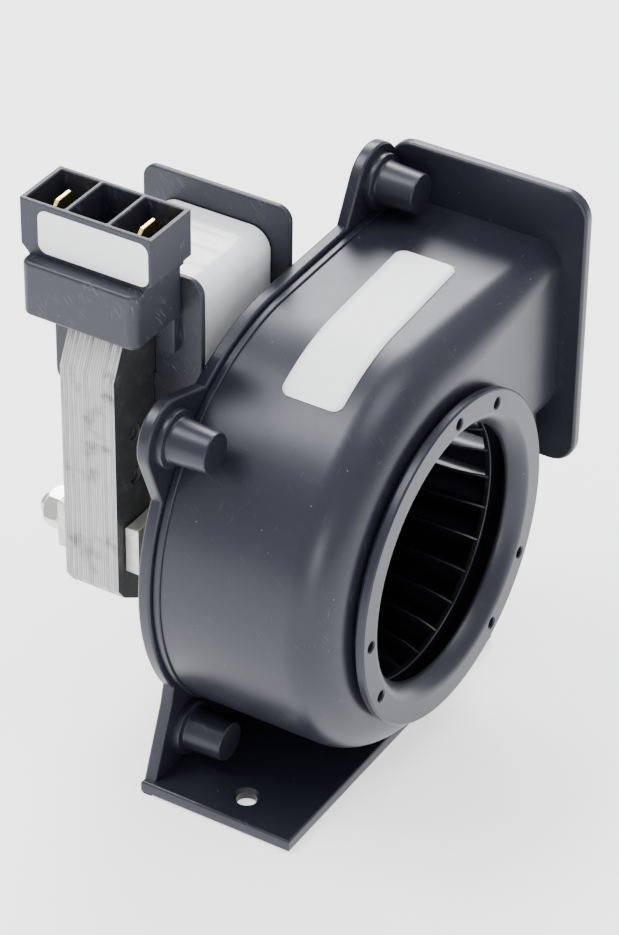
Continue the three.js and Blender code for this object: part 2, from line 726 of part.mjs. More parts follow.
// The same bracket closes both ends; away is -1 in front of the stack and 1 behind it.
function bracket(seat, away) {
  const top = seat + away * bracketThickness;
  const raise = away * bracketStep;
  const x0 = bracketLeft;
  const x1 = bracketLeft + bracketFootLength;
  const x2 = x1 + bracketRamp;
  const x5 = bracketRight;
  const x4 = bracketRight - bracketFootLength;
  const x3 = x4 - bracketRamp;
  const shape = outline([
    [x0, seat], [x1, seat], [x2, seat + raise], [x3, seat + raise], [x4, seat], [x5, seat],
    [x5, top], [x4, top], [x3, top + raise], [x2, top + raise], [x1, top], [x0, top],
  ]);
  const strap = slabUp(shape, -bracketHeight / 2, bracketHeight / 2);
  const inner = seat + raise;
  const outer = seat + away * (bracketReach + bearingHousingLength - bracketThickness);
  const low = Math.min(inner, outer);
  const high = Math.max(inner, outer);
  const housing = bar(0, 0, low, high, bearingHousingRadius);
  const bore = bar(0, 0, low - past, high + past, bearingRadius + gap);
  return without(strap.add(housing), [bore, ...boltDrills()]);
}

// A ring on the shaft axis; from is its face nearer the stack, away its direction.
function shaftRing(from, away, thickness, outer, inner) {
  const to = from + away * thickness;
  return tube(Math.min(from, to), Math.max(from, to), outer, inner);
}

function bearingPieces(end, seat, away) {
  const bearingFrom = seat + away * (bracketStep + gap);
  const feltFrom = bearingFrom + away * (bearingLength + gap);
  const capFrom = seat + away * (bracketStep + bearingHousingLength + gap);
  const washerFrom = seat + away * (endRingThickness + gap);
  const inner = shaftBore;
  addPiece(`${end}_bearing`, shaftRing(bearingFrom, away, bearingLength, bearingRadius, inner), bronze);
  addPiece(`${end}_felt_ring`, shaftRing(feltFrom, away, feltThickness, bearingRadius, inner), feltWool);
  addPiece(`${end}_bearing_cap`,
    shaftRing(capFrom, away, capThickness, bearingHousingRadius - capInset, inner), brightSteel);
  addPiece(`${end}_thrust_washer`,
    shaftRing(washerFrom, away, washerThickness, washerRadius, inner), brightSteel);
  addPiece(`rotor_end_ring_${end}`,
    shaftRing(seat, away, endRingThickness, rotorRadius - endRingInset, inner), zincCasting);
}

function motorBolt(x) {
  const nutEnd = rearFace + bracketThickness + gap + nutThickness;
  const headRadius = boltHeadDiameter / 2;
  const head = bar(x, 0, -gap - boltHeadThickness, -gap, headRadius - headDraft, headRadius);
  const shankFrom = -gap - headOverlap;
  const shank = bar(x, 0, shankFrom, nutEnd + boltEnd, boltDiameter / 2, boltDiameter / 2, 12);
  return head.add(shank);
}

function motorNut(x) {
  const seat = rearFace + bracketThickness + gap;
  const nut = hexBar(x, 0, seat, seat + nutThickness, nutAcrossCorners / 2);
  return nut.subtract(bar(x, 0, seat - past, seat + nutThickness + past, boltBore, boltBore, 12));
}

function spacer(x) {
  const y0 = plateRear + gap;
  const y1 = frontFace - bracketThickness - gap;
  const radius = spacerDiameter / 2;
  const bore = bar(x, 0, y0 - past, y1 + past, boltBore, boltBore, 12);
  return bar(x, 0, y0, y1, radius, radius).subtract(bore);
}

function housingScrew(x, z) {
  const seat = plateRear + gap;
  const headRadius = screwHeadDiameter / 2;
  const headTop = seat + screwHeadThickness;
  const head = bar(x, z, seat, headTop, headRadius, headRadius - headDraft);
  const half = recessWidth / 2;
  const along = [headTop - recessDepth, headTop + past];
  const slots = [
    block(x - recessReach, x + recessReach, ...along, z - half, z + half),
    block(x - half, x + half, ...along, z - recessReach, z + recessReach),
  ];
  const radius = screwDiameter / 2;
  const shank = bar(x, z, -screwLength, seat + headOverlap, radius * screwTaper, radius, 12);
  return without(head.add(shank), slots);
}

// -------------------------------------------------------------------------- assembly

addPiece('scroll_shell', scrollShell(), housingPlastic);
addPiece('back_plate', backPlate(), housingPlastic);
addPiece('inlet_ring', inletRing(), housingPlastic);
bossPlaces.forEach(({ name, x, z }) => addPiece(`housing_screw_${name}`, housingScrew(x, z), brightSteel));

addPiece('impeller', impeller(), impellerPlastic);
addPiece('hub_clip', shaftRing(hubFront - gap, -1, clipThickness, clipRadius, shaftBore), brightSteel);
addPiece('motor_shaft', bar(0, 0, hubFront - gap - clipThickness - shaftOverhang,
  rearFace + bracketStep + bearingHousingLength + shaftOverhang, shaftDiameter / 2), brightSteel);
addPiece('rotor_core', tube(stackFront, stackRear, rotorRadius, shaftBore, 40), laminatedSteel);

addPiece('frame_stack', frameStack(), laminatedSteel);
addPiece('coil_core', coilCore(), laminatedSteel);
addPiece('bobbin', bobbin(), bobbinPlastic);
addPiece('coil_winding', coilWinding(), copper);
addPiece('coil_tape', coilTape(), whiteTape);
addPiece('shading_ring_left', shadingRing(-1), copper);
addPiece('shading_ring_right', shadingRing(1), copper);
addPiece('terminal_block', terminalBlock(), bobbinPlastic);
terminalPlaces().forEach(({ name, y }) => addPiece(`blade_terminal_${name}`, bladeTerminal(y), brassSheet));

addPiece('front_bracket', bracket(frontFace, -1), zincCasting);
addPiece('rear_bracket', bracket(rearFace, 1), zincCasting);
bearingPieces('front', frontFace, -1);
bearingPieces('rear', rearFace, 1);
for (const { name, x } of boltPlaces) {
  addPiece(`motor_bolt_${name}`, motorBolt(x), brightSteel);
  addPiece(`motor_nut_${name}`, motorNut(x), brightSteel);
  addPiece(`motor_spacer_${name}`, spacer(x), blackRubber);
}

export default assembly;
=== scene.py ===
"""Fine model of a small centrifugal blower and its shaded-pole motor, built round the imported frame.

Lengths are in metres in the frame's own axes: +Z is up and the shaft runs along Y. Air enters
from -Y and leaves at +X, and the motor sits at +Y behind the scroll housing.
"""
import json
import logging
import math
import random
from collections.abc import Iterable, Sequence
from dataclasses import dataclass
from enum import Enum

import bmesh
import bpy
from mathutils import Matrix, Vector

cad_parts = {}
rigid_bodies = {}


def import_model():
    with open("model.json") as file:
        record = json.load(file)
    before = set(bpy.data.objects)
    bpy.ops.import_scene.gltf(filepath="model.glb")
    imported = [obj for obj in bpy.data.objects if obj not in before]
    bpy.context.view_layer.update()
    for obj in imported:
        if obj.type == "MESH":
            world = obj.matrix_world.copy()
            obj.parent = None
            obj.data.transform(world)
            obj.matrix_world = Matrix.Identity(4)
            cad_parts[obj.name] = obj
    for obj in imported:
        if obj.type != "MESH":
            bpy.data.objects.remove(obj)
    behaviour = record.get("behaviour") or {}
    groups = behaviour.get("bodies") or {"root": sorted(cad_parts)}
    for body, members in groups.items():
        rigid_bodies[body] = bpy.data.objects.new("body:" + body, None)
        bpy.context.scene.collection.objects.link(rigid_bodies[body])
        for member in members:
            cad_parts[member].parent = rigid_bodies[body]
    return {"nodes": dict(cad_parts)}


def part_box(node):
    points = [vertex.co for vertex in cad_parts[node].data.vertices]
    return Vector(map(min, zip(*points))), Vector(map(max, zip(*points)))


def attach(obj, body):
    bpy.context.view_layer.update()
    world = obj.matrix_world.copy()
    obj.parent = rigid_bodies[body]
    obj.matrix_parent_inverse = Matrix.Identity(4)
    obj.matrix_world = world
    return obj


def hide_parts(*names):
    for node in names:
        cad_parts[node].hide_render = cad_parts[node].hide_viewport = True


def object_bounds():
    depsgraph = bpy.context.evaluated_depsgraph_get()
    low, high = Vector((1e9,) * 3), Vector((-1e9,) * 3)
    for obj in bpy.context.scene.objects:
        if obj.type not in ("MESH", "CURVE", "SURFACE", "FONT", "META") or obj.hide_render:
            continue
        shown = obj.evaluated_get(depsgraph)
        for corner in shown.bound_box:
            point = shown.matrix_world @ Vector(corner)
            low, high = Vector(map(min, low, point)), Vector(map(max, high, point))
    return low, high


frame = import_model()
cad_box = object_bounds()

log = logging.getLogger("blower")

MM = 0.001
WELD = 1e-7
SHARP_ANGLE = math.radians(32)

Point = tuple[float, float]
Outline = list[Point]
Colour = tuple[float, float, float]


class Body(Enum):
    """The two bodies of the frame: what stands still, and what turns with the shaft."""

    HOUSING = "housing"
    ROTOR = "rotor"


class Axis(Enum):
    """The direction along which a flat outline is thickened or a profile is turned."""

    X = 0
    Y = 1
    Z = 2

    def place(self, u: float, v: float, along: float) -> Vector:
        """Puts a flat point (u, v) at a distance along this axis.

        Args:
            u: First coordinate across the axis.
            v: Second coordinate across the axis.
            along: Distance along the axis.

        Returns:
            The point in the frame's axes.
        """
        if self is Axis.X:
            return Vector((along, u, v))
        if self is Axis.Y:
            return Vector((u, along, v))
        return Vector((u, v, along))


# ------------------------------------------------------------------ shader expressions


class Signal:
    """A node's output that takes part in Python arithmetic; each operation adds a Math node."""

    def __init__(self, graph: "Graph", socket: bpy.types.NodeSocket) -> None:
        """Keeps the graph that the output belongs to, and the output."""
        self.graph = graph
        self.socket = socket

    def __add__(self, other: "Signal | float") -> "Signal":
        """self + other."""
        return self.graph.math("ADD", self, other)

    def __radd__(self, other: float) -> "Signal":
        """other + self."""
        return self.graph.math("ADD", other, self)

    def __sub__(self, other: "Signal | float") -> "Signal":
        """self - other."""
        return self.graph.math("SUBTRACT", self, other)

    def __rsub__(self, other: float) -> "Signal":
        """other - self."""
        return self.graph.math("SUBTRACT", other, self)

    def __mul__(self, other: "Signal | float") -> "Signal":
        """self * other."""
        return self.graph.math("MULTIPLY", self, other)

    def __rmul__(self, other: float) -> "Signal":
        """other * self."""
        return self.graph.math("MULTIPLY", other, self)

    def __truediv__(self, other: "Signal | float") -> "Signal":
        """self / other."""
        return self.graph.math("DIVIDE", self, other)


Value = Signal | float | tuple[float, ...]


class Graph:
    """The node tree of one material, built from Python expressions."""

    def __init__(self, name: str) -> None:
        """Makes an empty material with a surface shader.

        Args:
            name: The material's name.
        """
        self.material = bpy.data.materials.new(name)
        self.material.use_nodes = True
        self.tree = self.material.node_tree
        self.tree.nodes.clear()
        self.output = self.tree.nodes.new("ShaderNodeOutputMaterial")

    def node(self, kind: str, settings: dict[str, object], sockets: dict[str, Value],
             result: str | int = 0) -> Signal:
        """Adds one node.

        Args:
            kind: The node's type.
            settings: Its properties, set before its sockets.
            sockets: Values or links by socket identifier or name.
            result: Identifier or index of the output to give back.

        Returns:
            The chosen output.
        """
        made = self.tree.nodes.new(kind)
        for key, value in settings.items():
            setattr(made, key, value)
        for key, value in sockets.items():
            socket = next((s for s in made.inputs if s.identifier == key), None) or made.inputs[key]
            self.feed(socket, value)
        if isinstance(result, int):
            return Signal(self, made.outputs[result])
        return Signal(self, next(s for s in made.outputs if s.identifier == result))

    def feed(self, socket: bpy.types.NodeSocket, value: Value) -> None:
        """Links a signal to a socket, or sets the socket's own value."""
        if isinstance(value, Signal):
            self.tree.links.new(value.socket, socket)
        elif isinstance(value, tuple) and len(value) == 3 and socket.type == "RGBA":
            socket.default_value = (*value, 1.0)
        else:
            socket.default_value = value

    def math(self, operation: str, first: Value, second: Value = 0.0) -> Signal:
        """Adds a Math node on one or two values."""
        sockets = {"Value": first, "Value_001": second}
        return self.node("ShaderNodeMath", {"operation": operation}, sockets)

    def place(self) -> Signal:
        """The point on the object, in metres in the frame's axes."""
        return self.node("ShaderNodeTexCoord", {}, {}, "Object")

    def facing(self) -> Signal:
        """The surface's direction in the frame's axes."""
        return self.node("ShaderNodeTexCoord", {}, {}, "Normal")

    def part(self, vector: Signal, axis: Axis) -> Signal:
        """One coordinate of a vector."""
        return self.node("ShaderNodeSeparateXYZ", {}, {"Vector": vector}, axis.value)

    def stretched(self, scales: tuple[float, float, float]) -> Signal:
        """The point on the object with each coordinate multiplied."""
        settings = {"operation": "MULTIPLY"}
        return self.node("ShaderNodeVectorMath", settings, {"Vector": self.place(), "Vector_001": scales})

    def noise(self, size: float, detail: float = 3.0, rough: float = 0.55,
              where: Signal | None = None) -> Signal:
        """Soft noise from 0 to 1 whose blobs are about the given size.

        Args:
            size: Size of a blob in the units of the vector.
            detail: Octaves of finer noise.
            rough: Strength of the finer noise.
            where: Vector to look the noise up at; the point on the object if None.

        Returns:
            The noise.
        """
        sockets = {"Vector": where or self.place(), "Scale": 1.0 / size, "Detail": detail,
                   "Roughness": rough}
        return self.node("ShaderNodeTexNoise", {}, sockets, 0)

    def step(self, value: Signal, low: float, high: float) -> Signal:
        """Smooth step: 0 below low, 1 above high."""
        settings = {"interpolation_type": "SMOOTHSTEP"}
        sockets = {"Value": value, "From Min": low, "From Max": high}
        return self.node("ShaderNodeMapRange", settings, sockets, 0)

    def mix(self, share: Value, first: Value, second: Value) -> Signal:
        """A colour between two colours."""
        sockets = {"Factor_Float": share, "A_Color": first, "B_Color": second}
        return self.node("ShaderNodeMix", {"data_type": "RGBA"}, sockets, "Result_Color")

    def scratches(self, size: float, turn: float, amount: float) -> Signal:
        """Sparse straight scratches, 1 on a scratch.

        Args:
            size: Width of a scratch in metres.
            turn: Direction of the scratches about the three axes, in radians.
            amount: Share of the surface, 0 to 1.

        Returns:
            The mask.
        """
        settings = {"rotation_type": "EULER_XYZ"}
        sockets = {"Vector": self.place(), "Rotation": (turn, turn * 0.6, turn * 1.7)}
        turned_place = self.node("ShaderNodeVectorRotate", settings, sockets)
        scales = (1.0 / size, 0.03 / size, 0.03 / size)
        long_place = self.node("ShaderNodeVectorMath", {"operation": "MULTIPLY"},
                               {"Vector": turned_place, "Vector_001": scales})
        lines = self.noise(1.0, 0.0, 0.5, long_place)
        patches = self.noise(size * 60, 2.0, 0.6)
        thin = self.step(lines, 0.80 - 0.12 * amount, 0.86 - 0.12 * amount)
        return thin * self.step(patches, 0.50, 0.62)

    def bump(self, height: Signal, distance: float, strength: float = 1.0,
             under: Signal | None = None) -> Signal:
        """A normal that follows a height of so many metres."""
        sockets: dict[str, Value] = {"Height": height, "Distance": distance, "Strength": strength}
        if under is not None:
            sockets["Normal"] = under
        return self.node("ShaderNodeBump", {}, sockets)

    def surface(self, **sockets: Value) -> bpy.types.Material:
        """Ends the tree in a Principled shader with these sockets.

        Args:
            **sockets: Values or links, with underscores for the spaces in a socket's name.

        Returns:
            The finished material.
        """
        named = {key.replace("_", " "): value for key, value in sockets.items()}
        shader = self.node("ShaderNodeBsdfPrincipled", {}, named)
        self.tree.links.new(shader.socket, self.output.inputs["Surface"])
        return self.material


# --------------------------------------------------------------------------- finishes


@dataclass(frozen=True)
class MouldedPlastic:
    """Dark moulded plastic with a fine grain, faint flow marks, dust and a few scuffs."""

    name: str
    colour: Colour = (0.011, 0.011, 0.018)
    roughness: float = 0.34
    grain: float = 0.16 * MM
    grain_height: float = 0.008 * MM
    scuffs: float = 0.5

    def material(self) -> bpy.types.Material:
        """Builds the material."""
        graph = Graph(self.name)
        cloud = graph.noise(9 * MM, 4.0, 0.6)
        grain = graph.noise(self.grain, 2.0, 0.6)
        scuffed = graph.scratches(0.10 * MM, 0.5, self.scuffs)
        crossed = graph.scratches(0.07 * MM, 2.1, self.scuffs)
        marks = graph.math("MAXIMUM", scuffed, crossed) * self.scuffs
        settings = {"feature": "F1"}
        sockets = {"Vector": graph.place(), "Scale": 1.0 / (2.6 * MM), "Randomness": 1.0}
        specks = 1.0 - graph.step(graph.node("ShaderNodeTexVoronoi", settings, sockets, 0), 0.02, 0.045)
        dark = tuple(0.86 * c for c in self.colour)
        light = tuple(1.16 * c for c in self.colour)
        worn = tuple(3.4 * c + 0.05 for c in self.colour)
        base = graph.mix(cloud, dark, light)
        base = graph.mix(marks * 0.7, base, worn)
        base = graph.mix(specks * 0.55, base, (0.30, 0.30, 0.31))
        rough = self.roughness + (cloud - 0.5) * 0.10 + marks * 0.18 + (grain - 0.5) * 0.08
        normal = graph.bump(grain, self.grain_height)
        normal = graph.bump(marks, 0.01 * MM, 0.6, normal)
        return graph.surface(Base_Color=base, Roughness=rough, Normal=normal, Specular_IOR_Level=0.42,
                             Specular_Tint=(0.90, 0.92, 1.0, 1.0))


@dataclass(frozen=True)
class LaminatedSteel:
    """A riveted stack of punched sheets: bright cut edges, dull faces, each sheet of its own tone."""

    name: str
    sheet: float
    start: float
    edge_colour: Colour = (0.36, 0.355, 0.35)
    face_colour: Colour = (0.075, 0.077, 0.080)

    def material(self) -> bpy.types.Material:
        """Builds the material."""
        graph = Graph(self.name)
        along = (graph.part(graph.place(), Axis.Y) - self.start) / self.sheet
        index = graph.math("FLOOR", along)
        tone = graph.node("ShaderNodeTexWhiteNoise", {"noise_dimensions": "1D"}, {"W": index}, 0)
        seam = 1.0 - graph.step(graph.math("PINGPONG", along, 0.5), 0.05, 0.20)
        up = graph.part(graph.facing(), Axis.Z)
        sideways = graph.math("ABSOLUTE", graph.part(graph.facing(), Axis.Y))
        is_face = graph.step(sideways, 0.6, 0.8)
        sheared = graph.step(graph.math("ABSOLUTE", up), 0.25, 0.45)
        smudge = graph.step(graph.noise(7 * MM, 5.0, 0.65), 0.50, 0.72)
        brushed = graph.noise(1.0, 2.0, 0.6, graph.stretched((900.0, 2600.0, 160.0)))
        speckle = graph.noise(0.35 * MM, 3.0, 0.7)
        lined = (tone - 0.5) * (0.22 + sheared * 0.80) + (brushed - 0.5) * 0.40
        bright = 0.95 + lined - smudge * 0.50 - seam * (0.40 + sheared * 0.45)
        edge = graph.node("ShaderNodeVectorMath", {"operation": "SCALE"},
                          {"Vector": self.edge_colour, "Scale": bright}, 0)
        oxide = tuple(1.9 * c for c in self.face_colour)
        face = graph.mix(graph.step(graph.noise(3 * MM, 6.0, 0.7), 0.45, 0.8), self.face_colour, oxide)
        base = graph.mix(is_face, edge, face)
        rough = 0.40 + smudge * 0.18 + is_face * 0.12 + (speckle - 0.5) * 0.12
        metal = 0.92 - is_face * 0.35 - smudge * 0.15
        height = brushed * 0.5 + speckle * 0.5
        return graph.surface(Base_Color=base, Roughness=rough, Metallic=metal,
                             Normal=graph.bump(height, 0.012 * MM))


@dataclass(frozen=True)
class CastMetal:
    """A die-cast zinc part: pale, slightly warm, with a soft mottle."""

    name: str
    colour: Colour = (0.70, 0.69, 0.62)
    roughness: float = 0.42

    def material(self) -> bpy.types.Material:
        """Builds the material."""
        graph = Graph(self.name)
        mottle = graph.noise(2.2 * MM, 5.0, 0.65)
        grain = graph.noise(0.18 * MM, 2.0, 0.6)
        dark = tuple(0.72 * c for c in self.colour)
        base = graph.mix(graph.step(mottle, 0.30, 0.75), dark, self.colour)
        rough = self.roughness + (mottle - 0.5) * 0.2
        return graph.surface(Base_Color=base, Roughness=rough, Metallic=0.55,
                             Normal=graph.bump(grain, 0.012 * MM))


@dataclass(frozen=True)
class PolishedMetal:
    """Plated, rolled or drawn metal with fine draw lines and a little tarnish."""

    name: str
    colour: Colour
    roughness: float = 0.24
    tarnish: float = 0.25

    def material(self) -> bpy.types.Material:
        """Builds the material."""
        graph = Graph(self.name)
        cloud = graph.noise(2.5 * MM, 4.0, 0.6)
        lines = graph.noise(1.0, 2.0, 0.5, graph.stretched((5200.0, 5200.0, 300.0)))
        dull = tuple(0.55 * c for c in self.colour)
        base = graph.mix(graph.step(cloud, 0.45, 0.8) * self.tarnish, self.colour, dull)
        rough = self.roughness + (cloud - 0.5) * 0.16 + (lines - 0.5) * 0.10
        return graph.surface(Base_Color=base, Roughness=rough, Metallic=1.0,
                             Normal=graph.bump(lines, 0.004 * MM))


@dataclass(frozen=True)
class TapeFilm:
    """White polyester tape wound round the coil: glossy, with faint creases across the winding."""

    name: str
    colour: Colour = (0.80, 0.81, 0.82)

    def material(self) -> bpy.types.Material:
        """Builds the material."""
        graph = Graph(self.name)
        creases = graph.noise(1.0, 3.0, 0.6, graph.stretched((1500.0, 140.0, 140.0)))
        stain = graph.step(graph.noise(6 * MM, 4.0, 0.6), 0.52, 0.80)
        fibre = graph.noise(0.25 * MM, 2.0, 0.6)
        base = graph.mix(stain * 0.45, self.colour, (0.60, 0.61, 0.60))
        rough = 0.30 + (fibre - 0.5) * 0.12 + stain * 0.1
        height = creases + fibre * 0.15
        return graph.surface(Base_Color=base, Roughness=rough, Coat_Weight=0.3, Coat_Roughness=0.15,
                             Normal=graph.bump(height, 0.10 * MM))


@dataclass(frozen=True)
class LabelPaper:
    """A blank self-adhesive label of coated white paper."""

    name: str
    colour: Colour = (0.86, 0.87, 0.88)

    def material(self) -> bpy.types.Material:
        """Builds the material."""
        graph = Graph(self.name)
        fibre = graph.noise(0.20 * MM, 3.0, 0.6)
        rub = graph.step(graph.noise(4 * MM, 4.0, 0.65), 0.55, 0.85)
        base = graph.mix(rub * 0.25, self.colour, (0.66, 0.67, 0.69))
        rough = 0.42 + (fibre - 0.5) * 0.15
        return graph.surface(Base_Color=base, Roughness=rough, Normal=graph.bump(fibre, 0.008 * MM))


@dataclass(frozen=True)
class SoftMatter:
    """Felt, rubber or sintered metal: a matt, finely pitted surface."""

    name: str
    colour: Colour
    roughness: float = 0.85
    pit: float = 0.25 * MM
    metallic: float = 0.0

    def material(self) -> bpy.types.Material:
        """Builds the material."""
        graph = Graph(self.name)
        pits = graph.noise(self.pit, 4.0, 0.7)
        dark = tuple(0.6 * c for c in self.colour)
        base = graph.mix(pits, dark, self.colour)
        rough = self.roughness + (pits - 0.5) * 0.15
        return graph.surface(Base_Color=base, Roughness=rough, Metallic=self.metallic,
                             Normal=graph.bump(pits, self.pit * 0.3))


@dataclass(frozen=True)
class EnamelledCopper:
    """Copper under clear enamel, wound or drawn, with the tone varying from turn to turn."""

    name: str
    colour: Colour = (0.62, 0.25, 0.11)

    def material(self) -> bpy.types.Material:
        """Builds the material."""
        graph = Graph(self.name)
        turns = graph.noise(1.0, 1.0, 0.5, graph.stretched((4200.0, 200.0, 200.0)))
        cloud = graph.noise(2 * MM, 3.0, 0.6)
        dark = tuple(0.55 * c for c in self.colour)
        base = graph.mix(turns, dark, self.colour)
        rough = 0.30 + (cloud - 0.5) * 0.15
        return graph.surface(Base_Color=base, Roughness=rough, Metallic=0.95, Coat_Weight=0.4,
                             Normal=graph.bump(turns, 0.02 * MM))


class Finish(Enum):
    """The record's material slots."""

    HOUSING = "housing_plastic"
    IMPELLER = "impeller_plastic"
    BOBBIN = "bobbin_plastic"
    LAMINATED = "laminated_steel"
    ZINC = "zinc_casting"
    STEEL = "bright_steel"
    BRASS = "brass_sheet"
    BRONZE = "bronze"
    COPPER = "copper"
    TAPE = "white_tape"
    FELT = "felt_wool"
    RUBBER = "black_rubber"


class Palette:
    """Every finish of the blower as a material, each built once."""

    def __init__(self, stack_start: float, sheet: float) -> None:
        """Builds the materials.

        Args:
            stack_start: Where the first steel sheet of the stack starts, along Y.
            sheet: Thickness of one steel sheet.
        """
        steel = PolishedMetal("plated_steel", (0.62, 0.61, 0.58))
        recipes = {
            Finish.HOUSING: MouldedPlastic("housing_plastic"),
            Finish.IMPELLER: MouldedPlastic("impeller_plastic", (0.006, 0.006, 0.008), 0.28, scuffs=0.0),
            Finish.BOBBIN: MouldedPlastic("bobbin_plastic", (0.016, 0.017, 0.024), 0.42, scuffs=1.0),
            Finish.LAMINATED: LaminatedSteel("laminated_steel", sheet, stack_start),
            Finish.ZINC: CastMetal("zinc_casting"),
            Finish.STEEL: steel,
            Finish.BRASS: PolishedMetal("brass_sheet", (0.83, 0.60, 0.20), 0.26, 0.35),
            Finish.BRONZE: SoftMatter("sintered_bronze", (0.42, 0.27, 0.14), 0.5, 0.12 * MM, 0.9),
            Finish.COPPER: EnamelledCopper("enamelled_copper"),
            Finish.TAPE: TapeFilm("white_tape"),
            Finish.FELT: SoftMatter("felt_wool", (0.48, 0.42, 0.32), 0.95),
            Finish.RUBBER: SoftMatter("black_rubber", (0.018, 0.018, 0.018), 0.8, 0.15 * MM),
        }
        self.materials = {finish: recipe.material() for finish, recipe in recipes.items()}
        self.label = LabelPaper("label_paper").material()


# ------------------------------------------------------------------------ mesh making


def circle(u: float, v: float, radius: float, steps: int = 64) -> Outline:
    """A round outline about (u, v)."""
    angles = [2 * math.pi * k / steps for k in range(steps)]
    return [(u + radius * math.cos(a), v + radius * math.sin(a)) for a in angles]


def rounded_box(u0: float, u1: float, v0: float, v1: float, radius: float, steps: int = 5) -> Outline:
    """A rectangle with round corners.

    Args:
        u0: Lowest first coordinate.
        u1: Highest first coordinate.
        v0: Lowest second coordinate.
        v1: Highest second coordinate.
        radius: Corner radius.
        steps: Segments in each corner.

    Returns:
        The outline, counter-clockwise.
    """
    corners = [(u1 - radius, v0 + radius, -0.5), (u1 - radius, v1 - radius, 0.0),
               (u0 + radius, v1 - radius, 0.5), (u0 + radius, v0 + radius, 1.0)]
    points = []
    for u, v, quarter in corners:
        for k in range(steps + 1):
            angle = math.pi * (quarter + 0.5 * k / steps)
            points.append((u + radius * math.cos(angle), v + radius * math.sin(angle)))
    return points


def inset(outline: Outline, distance: float | Sequence[float]) -> Outline:
    """Moves an outline inwards, each corner along its mitre.

    Args:
        outline: The closed outline, either way round.
        distance: One distance, or one for each point.

    Returns:
        The moved outline.
    """
    count = len(outline)
    distances = [distance] * count if isinstance(distance, (int, float)) else list(distance)
    turns = (outline[i - 1][0] * outline[i][1] - outline[i][0] * outline[i - 1][1] for i in range(count))
    side = 1.0 if sum(turns) > 0 else -1.0
    moved = []
    for i, here in enumerate(outline):
        before = Vector(here) - Vector(outline[i - 1])
        after = Vector(outline[(i + 1) % count]) - Vector(here)
        first = Vector((-before.y, before.x)).normalized() * side
        second = Vector((-after.y, after.x)).normalized() * side
        step = (first + second) * (distances[i] / (1.0 + first.dot(second)))
        moved.append((here[0] + step.x, here[1] + step.y))
    return moved


def loft(rings: Sequence[Sequence[Vector]], endless: bool = False) -> bpy.types.Mesh:
    """Joins rings of equal length with quads.

    Args:
        rings: The rings in order.
        endless: True if the last ring joins the first; otherwise both ends get a flat cap.

    Returns:
        A closed mesh with its faces pointing out.
    """
    shape = bmesh.new()
    rows = [[shape.verts.new(point) for point in ring] for ring in rings]
    following = rows[1:] + rows[:1] if endless else rows[1:]
    for near, far in zip(rows, following):
        for i in range(len(near)):
            j = (i + 1) % len(near)
            shape.faces.new((near[i], near[j], far[j], far[i]))
    if not endless:
        shape.faces.new(rows[0])
        shape.faces.new(rows[-1])
    return _closed(shape)


def _closed(shape: bmesh.types.BMesh) -> bpy.types.Mesh:
    """Welds a shape, turns its faces out and gives it back as a mesh."""
    bmesh.ops.remove_doubles(shape, verts=shape.verts, dist=WELD)
    bmesh.ops.recalc_face_normals(shape, faces=shape.faces)
    mesh = bpy.data.meshes.new("shape")
    shape.to_mesh(mesh)
    shape.free()
    return mesh


def prism(outline: Outline, axis: Axis, low: float, high: float, rounding: float = 0.0,
          steps: int = 3) -> bpy.types.Mesh:
    """Thickens a flat outline along an axis, with both end edges rounded.

    Args:
        outline: The outline across the axis.
        axis: The axis.
        low: Where it starts.
        high: Where it ends.
        rounding: Radius of the end edges.
        steps: Segments in each rounding.

    Returns:
        The closed mesh.
    """
    if rounding <= 0:
        return loft([[axis.place(u, v, w) for u, v in outline] for w in (low, high)])
    rings = []
    for end, away in ((low, 1.0), (high, -1.0)):
        arc = []
        for k in range(steps + 1):
            angle = 0.5 * math.pi * k / steps
            ring = inset(outline, rounding * (1 - math.sin(angle)))
            level = end + away * rounding * (1 - math.cos(angle))
            arc.append([axis.place(u, v, level) for u, v in ring])
        rings.extend(arc if away > 0 else reversed(arc))
    return loft(rings)


def turned(profile: Outline, axis: Axis, centre: Point, steps: int = 72) -> bpy.types.Mesh:
    """Turns a profile round an axis.

    Args:
        profile: (radius, place along the axis) points; it closes on itself, or starts and ends
            on the axis.
        axis: The axis's direction.
        centre: Where the axis stands, across its direction.
        steps: Segments round the axis.

    Returns:
        The closed mesh.
    """
    on_axis = min(profile[0][0], profile[-1][0]) < WELD
    rings = [[axis.place(u, v, along) for u, v in circle(*centre, max(radius, WELD * 0.01), steps)]
             for radius, along in profile]
    return loft(rings, endless=not on_axis)


def collar_profile(inner: float, outer: float, low: float, high: float, edge: float) -> Outline:
    """Profile of a ring or, with inner 0, of a disc, with rounded edges."""
    if inner > 0:
        return rounded_box(inner, outer, low, high, edge, 3)
    arc = [0.5 * math.pi * k / 3 for k in range(4)]
    foot = [(outer - edge + edge * math.sin(a), low + edge - edge * math.cos(a)) for a in arc]
    head = [(outer - edge + edge * math.cos(a), high - edge + edge * math.sin(a)) for a in arc]
    return [(0.0, low), *foot, *head, (0.0, high)]


